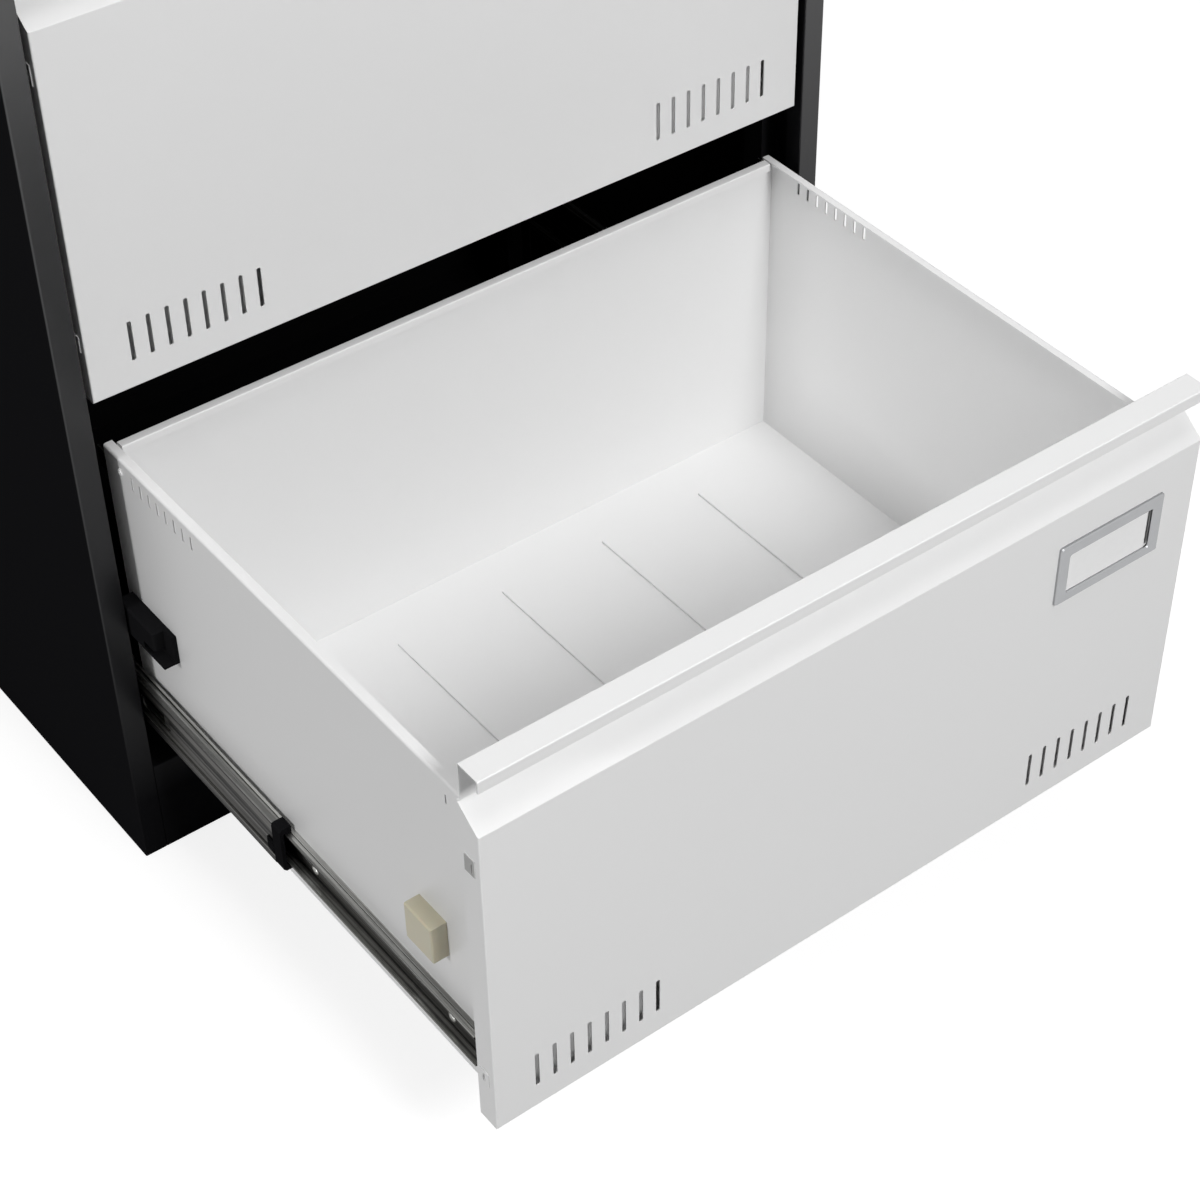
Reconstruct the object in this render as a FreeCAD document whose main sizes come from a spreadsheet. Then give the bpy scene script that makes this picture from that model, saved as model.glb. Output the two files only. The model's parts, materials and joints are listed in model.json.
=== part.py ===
import FreeCAD, Part
import math
import os
import re
import Sketcher

# A lateral filing cabinet with two drawers on telescopic slides.
# The carcass stands on the floor with its footprint centred on the origin.
# X runs to the right, Y to the back and Z up. All sizes are millimetres.
# The lower drawer is drawn fully open and the upper one is shut.

SIZES = {
    # Carcass
    "carcass_width": 600,
    "carcass_depth": 450,
    "carcass_height": 730,
    "sheet": 0.8,
    "post_width": 16.8,
    "post_return": 15,
    "rear_flange": 15,
    "pan_flange": 18,
    "plinth_height": 78,
    "plinth_shelf": 40,
    "plinth_lip": 8,
    "rail_bottom": 687,
    "rail_depth": 20,
    "rail_lip": 5,
    "fit_gap": 0.1,
    # Drawer layout
    "drawer_count": 2,
    "drawer_base": 85,
    "drawer_pitch": 302.5,
    "front_inset": 2,
    "stroke": 400,
    # Drawer front
    "front_width": 557,
    "front_height": 296,
    "face_height": 254,
    "bevel_top": 268,
    "handle_depth": 19,
    "handle_inset": 1.8,
    "lip_height": 9,
    "lip_hem": 5,
    "return_depth": 17,
    "bend_radius": 1,
    "vent_count": 8,
    "vent_pitch": 13,
    "vent_inner": 156.5,
    "vent_bottom": 19,
    "vent_top": 48,
    "vent_width": 3,
    "clip_front": 5,
    "clip_depth": 9.7,
    "clip_thickness": 0.5,
    "upper_clip": 218.5,
    "upper_clip_height": 13.5,
    "lower_clip": 34,
    "lower_clip_height": 14,
    # Card holder
    "holder_left": 158,
    "holder_right": 249,
    "holder_bottom": 180,
    "holder_top": 227,
    "holder_border": 9,
    "holder_border_low": 7.2,
    "holder_corner": 2,
    "holder_bevel": 0.7,
    "holder_thickness": 2.2,
    "window_corner": 1.5,
    "card_margin": 2,
    "finger_slot": 2.6,
    "card_thickness": 0.4,
    # Drawer box
    "box_width": 541,
    "box_bottom": 17,
    "box_top": 258,
    "box_flange": 15,
    "side_end": 416,
    "back_face": 413,
    "hem_width": 6.5,
    "back_drop": 6,
    "hem_radius": 2,
    "rivet_radius": 2.5,
    "rivet_head": 1.2,
    "screw_radius": 3.6,
    "screw_head": 1.8,
    "screw_first": 30,
    "screw_pitch": 150,
    "rear_rivet_first": 90,
    "rear_rivet_pitch": 183,
    "back_hem": 7,
    "corner_gap": 1.5,
    "side_vent_first": 382.5,
    "side_vent_pitch": 10.1,
    "side_vent_bottom": 241,
    "side_vent_top": 251.5,
    "side_vent_width": 2.4,
    "front_slot": 42.75,
    "front_slot_width": 1.5,
    "wall_rivet": 396,
    "floor_rib_height": 2,
    "floor_rib_width": 14,
    "floor_rib_margin": 40,
    "floor_rib_count": 5,
    "bracket_width": 20,
    "bracket_depth": 14,
    "bracket_height": 16,
    "bracket_drop": 24,
    # Blocks on the left side of each drawer
    "catch_front": 52,
    "catch_length": 28,
    "catch_bottom": 106,
    "catch_height": 29,
    "block_depth": 11.5,
    "guide_front": 355,
    "guide_nose": 366,
    "guide_rear": 410,
    "guide_bottom": 116,
    "guide_height": 23,
    "guide_plate": 3.5,
    "guide_foot": 1.8,
    # Telescopic slides
    "slide_gap": 12.7,
    "slide_height": 53.5,
    "slide_steel": 1.2,
    "outer_start": 19,
    "outer_length": 400,
    "outer_half": 22.85,
    "outer_reach": 9.6,
    "outer_lip": 2.3,
    "access_first": 110,
    "access_length": 30,
    "access_height": 8,
    "access_pitch": 100,
    "middle_start": 36,
    "middle_length": 365,
    "middle_half": 18.35,
    "middle_steel": 1,
    "middle_back": 2,
    "middle_web": 3.2,
    "web_half": 12,
    "middle_race": 1.15,
    "cutout_first": 136,
    "cutout_length": 26,
    "cutout_radius": 6,
    "cutout_pitch": 112,
    "inner_start": 20,
    "inner_length": 396,
    "inner_half": 13.5,
    "inner_steel": 1,
    "inner_race": 1,
    "inner_slot_first": 60,
    "inner_slot_length": 16,
    "inner_slot_height": 5,
    "inner_slot_pitch": 126,
    "cage_steel": 0.5,
    "cage_length": 110,
    "stop_length": 10,
    "stop_lug": 9,
    # Slide uprights
    "upright_face": 20,
    "upright_foot": 12,
    "upright_front": -173,
    "upright_rear": 160,
    "upright_bottom": 22,
    "upright_top": 705,
    "upright_slot_width": 8,
    "upright_slot_length": 18,
    "upright_slot_drop": 30,
    # Lock
    "lock_offset": 262,
    "lock_height": 708,
    "barrel_radius": 9.5,
    "barrel_length": 20,
    "bezel_depth": 2,
    "nut_thickness": 4,
    "cam_thickness": 2,
    "pin_length": 7,
    "key_slot_length": 7,
    "key_slot_width": 1.6,
    "plug_radius": 6.4,
    "crank_radius": 8.5,
    "pin_radius": 2,
    "pin_play": 0.5,
    "bar_wall_gap": 8,
    "bar_thickness": 1.5,
    "bar_front": -203,
    "bar_width": 14,
    "tab_gap": 2,
    "tab_thickness": 3,
}

DRAWERS = {"lower": 0, "upper": 1}
LEFT = -1
RIGHT = 1
SIDES = {"left": LEFT, "right": RIGHT}

doc = FreeCAD.newDocument("FilingCabinet")
sheet = doc.addObject("Spreadsheet::Sheet", "Sizes")
for row, (alias, value) in enumerate(SIZES.items(), start=1):
    sheet.set(f"A{row}", alias.replace("_", " "))
    sheet.set(f"B{row}", str(value))
    sheet.setAlias(f"B{row}", alias)
doc.recompute()

pieces = []


def linked(expression):
    """Point every named size in an expression at its cell."""
    return re.sub(
        r"[a-z][a-z_]+",
        lambda word: f"Sizes.{word.group()}" if word.group() in SIZES else word.group(),
        str(expression),
    )


def measure(expression):
    """Work out the value of an expression on the sizes."""
    return float(sheet.evalExpression(linked(expression)))


# Sketches and features

def make_body(label):
    """Start a sub-part."""
    body = doc.addObject("PartDesign::Body", label)
    body.Label = label
    pieces.append(body)
    return body


def place(piece, x="0", y="0", z="0"):
    """Bind a sub-part's position to the sizes."""
    piece.setExpression("Placement.Base.x", linked(x))
    piece.setExpression("Placement.Base.y", linked(y))
    piece.setExpression("Placement.Base.z", linked(z))


def origin_feature(body, role):
    """Find one of a body's own origin planes or axes."""
    return next(f for f in body.Origin.OriginFeatures if f.Role == role)


def start_sketch(body, plane, start):
    """Attach a sketch to an origin plane, moved to a world coordinate on the plane's axis."""
    sketch = body.newObject("Sketcher::SketchObject", f"{body.Name}_Sketch")
    sketch.AttachmentSupport = (origin_feature(body, plane), "")
    sketch.MapMode = "FlatFace"
    offset = f"-({start})" if plane == "XZ_Plane" else start
    sketch.setExpression("AttachmentOffset.Base.z", linked(offset))
    return sketch


def pin_point(sketch, geometry, vertex, x, y):
    """Hold a sketch vertex at a position given by the sizes."""
    for kind, expression in (("DistanceX", x), ("DistanceY", y)):
        constraint = Sketcher.Constraint(kind, -1, 1, geometry, vertex, measure(expression))
        index = sketch.addConstraint(constraint)
        sketch.setExpression(f"Constraints[{index}]", linked(expression))


def polygon(sketch, points):
    """Draw a closed outline through points given by the sizes."""
    corners = [FreeCAD.Vector(measure(x), measure(y), 0) for x, y in points]
    first = sketch.GeometryCount
    count = len(corners)
    for i in range(count):
        sketch.addGeometry(Part.LineSegment(corners[i], corners[(i + 1) % count]))
    for i in range(count):
        following = first + (i + 1) % count
        sketch.addConstraint(Sketcher.Constraint("Coincident", first + i, 2, following, 1))
    for i, (x, y) in enumerate(points):
        pin_point(sketch, first + i, 1, x, y)


def rectangle(x_low, x_high, y_low, y_high):
    """List the corners of a rectangle."""
    return [(x_low, y_low), (x_high, y_low), (x_high, y_high), (x_low, y_high)]


def circle(sketch, x, y, radius):
    """Draw a circle with its centre and radius given by the sizes."""
    centre = FreeCAD.Vector(measure(x), measure(y), 0)
    up = FreeCAD.Vector(0, 0, 1)
    index = sketch.addGeometry(Part.Circle(centre, up, measure(radius)))
    pin_point(sketch, index, 3, x, y)
    limit = sketch.addConstraint(Sketcher.Constraint("Radius", index, measure(radius)))
    sketch.setExpression(f"Constraints[{limit}]", linked(radius))


def round_slot(sketch, x_ends, y_ends, radius):
    """Draw a slot with round ends between two centres on a vertical or level line."""
    centres = [FreeCAD.Vector(measure(x), measure(y), 0) for x, y in zip(x_ends, y_ends)]
    along = (centres[1] - centres[0]).normalize()
    across = FreeCAD.Vector(-along.y, along.x, 0) * measure(radius)
    up = FreeCAD.Vector(0, 0, 1)
    heading = math.atan2(along.y, along.x)
    quarter = math.pi / 2
    near_circle = Part.Circle(centres[0], up, measure(radius))
    far_circle = Part.Circle(centres[1], up, measure(radius))
    near = sketch.addGeometry(
        Part.ArcOfCircle(near_circle, heading + quarter, heading + 3 * quarter)
    )
    far = sketch.addGeometry(Part.ArcOfCircle(far_circle, heading - quarter, heading + quarter))
    lower = sketch.addGeometry(Part.LineSegment(centres[0] - across, centres[1] - across))
    upper = sketch.addGeometry(Part.LineSegment(centres[1] + across, centres[0] + across))
    sketch.addConstraint(Sketcher.Constraint("Tangent", near, 2, lower, 1))
    sketch.addConstraint(Sketcher.Constraint("Tangent", lower, 2, far, 1))
    sketch.addConstraint(Sketcher.Constraint("Tangent", far, 2, upper, 1))
    sketch.addConstraint(Sketcher.Constraint("Tangent", upper, 2, near, 1))
    pin_point(sketch, near, 3, x_ends[0], y_ends[0])
    pin_point(sketch, far, 3, x_ends[1], y_ends[1])
    limit = sketch.addConstraint(Sketcher.Constraint("Radius", near, measure(radius)))
    sketch.setExpression(f"Constraints[{limit}]", linked(radius))
    sketch.addConstraint(Sketcher.Constraint("Equal", near, far))


def bent(path, thickness, hand):
    """Give the outline of sheet metal bent along a path.

    The sheet lies to the left of the path where hand is 1 and to its right where it is -1.
    """
    points = [FreeCAD.Vector(measure(x), measure(y), 0) for x, y in path]
    normals = []
    for start, end in zip(points, points[1:]):
        along = (end - start).normalize()
        normals.append(FreeCAD.Vector(-along.y * hand, along.x * hand, 0))
    far_side = []
    for i, (x, y) in enumerate(path):
        before = normals[max(i - 1, 0)]
        after = normals[min(i, len(normals) - 1)]
        mitre = (before + after) * (1 / (1 + before.dot(after)))
        far_x = f"({x}) + ({mitre.x:.6f}) * ({thickness})"
        far_y = f"({y}) + ({mitre.y:.6f}) * ({thickness})"
        far_side.append((far_x, far_y))
    return path + far_side[::-1]


def clipped_slot(x_low, x_high, y_low, y_high, clip):
    """List the corners of a narrow slot whose corners are clipped."""
    return [
        (x_low, f"{y_low} + {clip}"),
        (f"{x_low} + {clip}", y_low),
        (f"{x_high} - {clip}", y_low),
        (x_high, f"{y_low} + {clip}"),
        (x_high, f"{y_high} - {clip}"),
        (f"{x_high} - {clip}", y_high),
        (f"{x_low} + {clip}", y_high),
        (x_low, f"{y_high} - {clip}"),
    ]


def add_pad(body, sketch, length):
    """Raise a sketch along the positive direction of its axis."""
    pad = body.newObject("PartDesign::Pad", f"{body.Name}_Pad")
    pad.Profile = sketch
    pad.setExpression("Length", linked(length))
    pad.Reversed = sketch.AttachmentSupport[0][0].Role == "XZ_Plane"
    sketch.Visibility = False
    return pad


def prism(body, plane, points, start, length):
    """Add a straight solid on a polygon outline."""
    sketch = start_sketch(body, plane, start)
    polygon(sketch, points)
    return add_pad(body, sketch, length)


def cut_sketch(body, sketch, length):
    """Cut a sketch along the positive direction of its axis."""
    pocket = body.newObject("PartDesign::Pocket", f"{body.Name}_Pocket")
    pocket.Profile = sketch
    pocket.setExpression("Length", linked(length))
    pocket.Reversed = sketch.AttachmentSupport[0][0].Role != "XZ_Plane"
    sketch.Visibility = False
    return pocket


def cut_prism(body, plane, points, start, length):
    """Cut a straight opening on a polygon outline."""
    sketch = start_sketch(body, plane, start)
    polygon(sketch, points)
    return cut_sketch(body, sketch, length)


def repeat(body, feature, axis, spacing, count):
    """Repeat a feature along one of the body's axes."""
    pattern = body.newObject("PartDesign::LinearPattern", f"{body.Name}_Row")
    pattern.Originals = [feature]
    pattern.Direction = (origin_feature(body, axis), [""])
    pattern.Mode = "Spacing"
    pattern.setExpression("Offset", linked(spacing))
    pattern.setExpression("Occurrences", linked(count))
    body.Tip = pattern
    return pattern


def mirror_across_middle(body, features):
    """Copy features to the other side of the body's YZ plane."""
    mirrored = body.newObject("PartDesign::Mirrored", f"{body.Name}_Mirror")
    mirrored.Originals = features
    mirrored.MirrorPlane = (origin_feature(body, "YZ_Plane"), [""])
    body.Tip = mirrored
    return mirrored


def edges_at(shape, **where):
    """Name the edges whose two ends both lie at the given coordinates."""
    names = []
    for index, edge in enumerate(shape.Edges, start=1):
        ends = [vertex.Point for vertex in edge.Vertexes]
        if len(ends) == 2 and all(
            abs(getattr(end, axis) - measure(value)) < 0.01
            for end in ends
            for axis, value in where.items()
        ):
            names.append(f"Edge{index}")
    return names


def dress_edges(body, kind, size_name, size, places):
    """Dress the edges of the body's last feature that lie at the given places."""
    doc.recompute()
    base = body.Tip
    names = [name for where in places for name in edges_at(base.Shape, **where)]
    if not names:
        raise RuntimeError(f"no edge to dress on {body.Label}")
    dressing = body.newObject(f"PartDesign::{kind}", f"{body.Name}_{kind}")
    dressing.Base = (base, names)
    dressing.setExpression(size_name, linked(size))


def round_edges(body, radius, *places):
    """Round the edges that lie at the given places."""
    dress_edges(body, "Fillet", "Radius", radius, places)


def bevel_edges(body, size, *places):
    """Bevel the edges that lie at the given places."""
    dress_edges(body, "Chamfer", "Size", size, places)


def make_group(label, members):
    """Gather separate solids in one sub-part."""
    group = doc.addObject("Part::Compound", label)
    group.Links = members
    group.Label = label
    pieces.append(group)
    return group


def make_stud(name, direction, x, y, z, radius, length, faces=8):
    """Make a screw or rivet head with a few flat faces that stands along a direction."""
    stud = doc.addObject("Part::Prism", name)
    stud.Polygon = faces
    stud.setExpression("Circumradius", linked(radius))
    stud.setExpression("Height", linked(length))
    stud.Placement.Rotation = FreeCAD.Rotation(FreeCAD.Vector(0, 0, 1), direction)
    place(stud, x, y, z)
    return stud


# Carcass

def make_side_panel(name, side):
    """Fold a side from one sheet: front post, wall and rear flange."""
    body = make_body(f"side_panel_{name}")
    post_edge = f"{side} * (carcass_width / 2 - post_width)"
    wall = f"{side} * carcass_width / 2"
    front = "-carcass_depth / 2"
    path = [
        (post_edge, f"{front} + post_return"),
        (post_edge, front),
        (wall, front),
        (wall, "carcass_depth / 2"),
        (f"{side} * (carcass_width / 2 - rear_flange)", "carcass_depth / 2"),
    ]
    prism(body, "XY_Plane", bent(path, "sheet", side), "0", "carcass_height - sheet")
    round_edges(
        body,
        "bend_radius",
        {"x": wall, "y": front},
        {"x": wall, "y": "carcass_depth / 2"},
        {"x": post_edge, "y": front},
    )


def make_back_panel():
    """Close the back with a flat sheet inside the rear flanges."""
    body = make_body("back_panel")
    half = "carcass_width / 2 - sheet"
    outline = rectangle(f"-({half})", half, "sheet", "carcass_height - sheet")
    prism(body, "XZ_Plane", outline, "carcass_depth / 2 - 2 * sheet", "sheet")


def make_top_panel():
    """Cover the carcass with a sheet whose side and rear edges turn down inside the walls."""
    body = make_body("top_panel")
    half = "carcass_width / 2"
    depth = "carcass_depth / 2"
    outline = rectangle(f"-{half}", half, f"-{depth}", depth)
    prism(body, "XY_Plane", outline, "carcass_height - sheet", "sheet")
    underside = "carcass_height - sheet - pan_flange"
    side_flange = prism(
        body,
        "XY_Plane",
        rectangle(
            f"{half} - 2 * sheet",
            f"{half} - sheet",
            f"-{depth} + post_return + 2",
            f"{depth} - 4 * sheet",
        ),
        underside,
        "pan_flange",
    )
    mirror_across_middle(body, [side_flange])
    rear = rectangle(
        f"-{half} + pan_flange",
        f"{half} - pan_flange",
        f"{depth} - 3 * sheet",
        f"{depth} - 2 * sheet",
    )
    prism(body, "XY_Plane", rear, underside, "pan_flange")
    round_edges(
        body,
        "sheet * 0.9",
        {"z": "carcass_height", "y": f"-{depth}"},
        {"z": "carcass_height", "x": half},
        {"z": "carcass_height", "x": f"-{half}"},
        {"z": "carcass_height", "y": depth},
    )


def make_bottom_pan():
    """Close the foot of the carcass with a pan that stands on the floor."""
    body = make_body("bottom_pan")
    half = "(carcass_width / 2 - sheet)"
    front = "(-carcass_depth / 2 + sheet)"
    rear = "(carcass_depth / 2 - 2 * sheet)"
    post_side = "(carcass_width / 2 - post_width - fit_gap)"
    post_back = "(-carcass_depth / 2 + post_return + fit_gap)"
    outline = [
        (f"-{post_side}", front),
        (post_side, front),
        (post_side, post_back),
        (half, post_back),
        (half, rear),
        (f"-{half}", rear),
        (f"-{half}", post_back),
        (f"-{post_side}", post_back),
    ]
    prism(body, "XY_Plane", outline, "0", "sheet")
    side_flange = prism(
        body,
        "XY_Plane",
        rectangle(f"{half} - sheet", half, post_back, f"{rear} - 2 * sheet"),
        "0",
        "pan_flange",
    )
    mirror_across_middle(body, [side_flange])
    for low, high, reach in (
        (front, f"{front} + sheet", post_side),
        (f"{rear} - sheet", rear, f"({half} - pan_flange)"),
    ):
        prism(body, "XY_Plane", rectangle(f"-{reach}", reach, low, high), "0", "pan_flange")


def make_front_top_rail():
    """Fold the rail above the upper drawer and pierce it for the lock."""
    body = make_body("front_top_rail")
    front = "-carcass_depth / 2"
    back = f"{front} + rail_depth"
    reach = "(carcass_width / 2 - post_width)"
    top = "carcass_height - sheet"
    path = [
        (back, "rail_bottom + rail_lip"),
        (back, "rail_bottom"),
        (front, "rail_bottom"),
        (front, top),
        (back, top),
    ]
    prism(body, "YZ_Plane", bent(path, "sheet", -1), f"-{reach}", f"2 * {reach}")
    round_edges(body, "bend_radius", {"y": front, "z": "rail_bottom"})
    sketch = start_sketch(body, "XZ_Plane", f"{front} - 1")
    circle(sketch, "-lock_offset", "lock_height", "barrel_radius + fit_gap")
    cut_sketch(body, sketch, "3")


def make_kick_plate():
    """Fold the plinth, which is flush with the posts."""
    body = make_body("kick_plate")
    front = "-carcass_depth / 2"
    reach = "(carcass_width / 2 - post_width)"
    path = [
        (f"{front} + plinth_shelf", "plinth_height - plinth_lip"),
        (f"{front} + plinth_shelf", "plinth_height"),
        (front, "plinth_height"),
        (front, "0"),
    ]
    prism(body, "YZ_Plane", bent(path, "sheet", 1), f"-{reach}", f"2 * {reach}")
    round_edges(body, "bend_radius", {"y": front, "z": "plinth_height"})


def make_upright(name, side, centre):
    """Stand a hat channel against the side wall to carry the slides."""
    body = make_body(name)
    foot = f"{side} * (carcass_width / 2 - sheet - slide_steel)"
    face = f"{side} * (box_width / 2 + slide_gap)"
    half = "upright_face / 2"
    path = [
        (foot, f"{centre} - {half} - upright_foot"),
        (foot, f"{centre} - {half}"),
        (face, f"{centre} - {half}"),
        (face, f"{centre} + {half}"),
        (foot, f"{centre} + {half}"),
        (foot, f"{centre} + {half} + upright_foot"),
    ]
    outline = bent(path, "slide_steel", -side)
    prism(body, "XY_Plane", outline, "upright_bottom", "upright_top - upright_bottom")
    low = "drawer_base + slide_height - outer_half - upright_slot_drop"
    slot = rectangle(
        f"{centre} - upright_slot_width / 2",
        f"{centre} + upright_slot_width / 2",
        low,
        f"{low} + upright_slot_length",
    )
    hole = cut_prism(body, "YZ_Plane", slot, f"{face} - 2", "4")
    repeat(body, hole, "Z_Axis", "drawer_pitch / 3", "6")


# Telescopic slides. A section is drawn with u from the upright's face
# towards the drawer and v up from the slide's centre line.

def slide_x(side, depth):
    """Turn a depth from the upright's face into an X position."""
    return f"{side} * (box_width / 2 + slide_gap - ({depth}))"


def slide_section(side, path, thickness, hand):
    """Give a slide section in the drawer's X and Z from its path in depth and height."""
    points = [(slide_x(side, u), f"slide_height + ({v})") for u, v in path]
    return bent(points, thickness, -hand * side)


def closed_height(drawer):
    """Give the height of a drawer's lower edge."""
    return f"drawer_base + {DRAWERS[drawer]} * drawer_pitch"


def closed_front(drawer, share):
    """Give the Y of a drawer's front face, or of a piece that moves a share of its stroke."""
    opened = f" - {share} * stroke" if drawer == "lower" and share else ""
    return f"-carcass_depth / 2 + front_inset{opened}"


def make_outer_member(drawer, name, side):
    """Roll the cabinet member of a slide: a channel with lips that hold its balls."""
    body = make_body(f"{drawer}_outer_slide_{name}")
    lip = "outer_half - outer_lip"
    path = [
        ("outer_reach", lip),
        ("outer_reach", "outer_half"),
        ("0", "outer_half"),
        ("0", "-outer_half"),
        ("outer_reach", "-outer_half"),
        ("outer_reach", f"-({lip})"),
    ]
    outline = slide_section(side, path, "slide_steel", 1)
    prism(body, "XZ_Plane", outline, "outer_start", "outer_length")
    access = rectangle(
        "outer_start + access_first",
        "outer_start + access_first + access_length",
        "slide_height - access_height / 2",
        "slide_height + access_height / 2",
    )
    hole = cut_prism(body, "YZ_Plane", access, f"{slide_x(side, '0')} - 2", "4")
    repeat(body, hole, "Y_Axis", "access_pitch", "3")
    place(body, y=closed_front(drawer, 0), z=closed_height(drawer))


def make_middle_member(drawer, name, side):
    """Roll the intermediate member, with a ball race pressed into each flange."""
    body = make_body(f"{drawer}_middle_slide_{name}")
    rim = "middle_half"
    race = "middle_half - middle_race"
    half_path = [
        ("10.2", rim),
        ("8.4", rim),
        ("8.4", race),
        ("5", race),
        ("5", rim),
        ("middle_back", rim),
        ("middle_back", "web_half"),
        ("middle_web", "web_half"),
    ]
    path = half_path + [(u, f"-({v})") for u, v in reversed(half_path)]
    outline = slide_section(side, path, "middle_steel", 1)
    prism(body, "XZ_Plane", outline, "middle_start", "middle_length")
    sketch = start_sketch(body, "YZ_Plane", f"{slide_x(side, 'middle_web')} - 3")
    first = "middle_start + cutout_first"
    slot_ends = (first, f"{first} + cutout_length")
    round_slot(sketch, slot_ends, ("slide_height", "slide_height"), "cutout_radius")
    hole = cut_sketch(body, sketch, "6")
    repeat(body, hole, "Y_Axis", "cutout_pitch", "2")
    place(body, y=closed_front(drawer, 0.5), z=closed_height(drawer))


def make_inner_member(drawer, name, side):
    """Roll the drawer member, which opens towards the carcass."""
    body = make_body(f"{drawer}_inner_slide_{name}")
    rim = "inner_half"
    race = "inner_half - inner_race"
    half_path = [
        ("5.4", rim),
        ("6.8", rim),
        ("6.8", race),
        ("9.6", race),
        ("9.6", rim),
        ("slide_gap", rim),
    ]
    path = half_path + [(u, f"-({v})") for u, v in reversed(half_path)]
    outline = slide_section(side, path, "inner_steel", -1)
    prism(body, "XZ_Plane", outline, "inner_start", "inner_length")
    access = clipped_slot(
        "inner_start + inner_slot_first",
        "inner_start + inner_slot_first + inner_slot_length",
        "slide_height - inner_slot_height / 2",
        "slide_height + inner_slot_height / 2",
        "1.5",
    )
    hole = cut_prism(body, "YZ_Plane", access, f"{slide_x(side, '12.2')} - 2", "4")
    repeat(body, hole, "Y_Axis", "inner_slot_pitch", "3")
    place(body, y=closed_front(drawer, 1), z=closed_height(drawer))


def make_end_stops(drawer):
    """Cap the front end of both intermediate members with a moulded stop and its catch."""
    stops = []
    for name, side in SIDES.items():
        body = doc.addObject("PartDesign::Body", f"{drawer}_stop_{name}")
        rim = "middle_half + 0.3"
        bevel = "middle_half - 1.7"
        inside = "inner_half + 0.5"
        half_path = [("10.4", inside), ("10.4", rim), ("3.6", rim), ("1.6", bevel)]
        path = half_path + [(u, f"-({v})") for u, v in reversed(half_path)]
        path += [("4.4", f"-({inside})"), ("4.4", inside)]
        section = [(slide_x(side, u), f"slide_height + ({v})") for u, v in path]
        prism(body, "XZ_Plane", section, "middle_start - stop_length", "stop_length")
        add_stop_catch(body, side)
        stops.append(body)
    group = make_group(f"{drawer}_end_stops", stops)
    place(group, y=closed_front(drawer, 0.5), z=closed_height(drawer))


def add_stop_catch(body, side):
    """Run a lug back from the stop along the recess of the web, with a square catch on it."""
    lug = rectangle(
        "middle_start - 1",
        "middle_start + stop_lug",
        "slide_height - 11",
        "slide_height - 1",
    )
    catch = rectangle(
        "middle_start + 0.5",
        "middle_start + stop_lug - 1",
        "slide_height - 9.5",
        "slide_height - 2.5",
    )
    for outline, low, high in ((lug, "2.2", "3.1"), (catch, "1.6", "2.2")):
        start = slide_x(side, high if side == LEFT else low)
        outer = slide_x(side, low if side == LEFT else high)
        prism(body, "YZ_Plane", outline, min(start, outer, key=measure), f"{high} - {low}")


def make_ball_cages(drawer):
    """Bend the two retainers of each slide, one inside and one outside the intermediate member."""
    cages = []
    for name, side in SIDES.items():
        for kind, web, tip, height, start in (
            ("outer", "1.35", "7.2", "middle_half + 1.7", "middle_start + 225"),
            ("inner", "4.45", "9", "inner_half + 1.1", "middle_start + 30"),
        ):
            body = doc.addObject("PartDesign::Body", f"{drawer}_{kind}_cage_{name}")
            path = [(tip, height), (web, height), (web, f"-({height})"), (tip, f"-({height})")]
            outline = slide_section(side, path, "cage_steel", 1)
            prism(body, "XZ_Plane", outline, start, "cage_length")
            cages.append(body)
    group = make_group(f"{drawer}_ball_cages", cages)
    place(group, y=closed_front(drawer, 0.5), z=closed_height(drawer))


# Drawer

def place_on_drawer(piece, drawer):
    """Seat a piece drawn in the drawer's own frame."""
    place(piece, y=closed_front(drawer, 1), z=closed_height(drawer))


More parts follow.
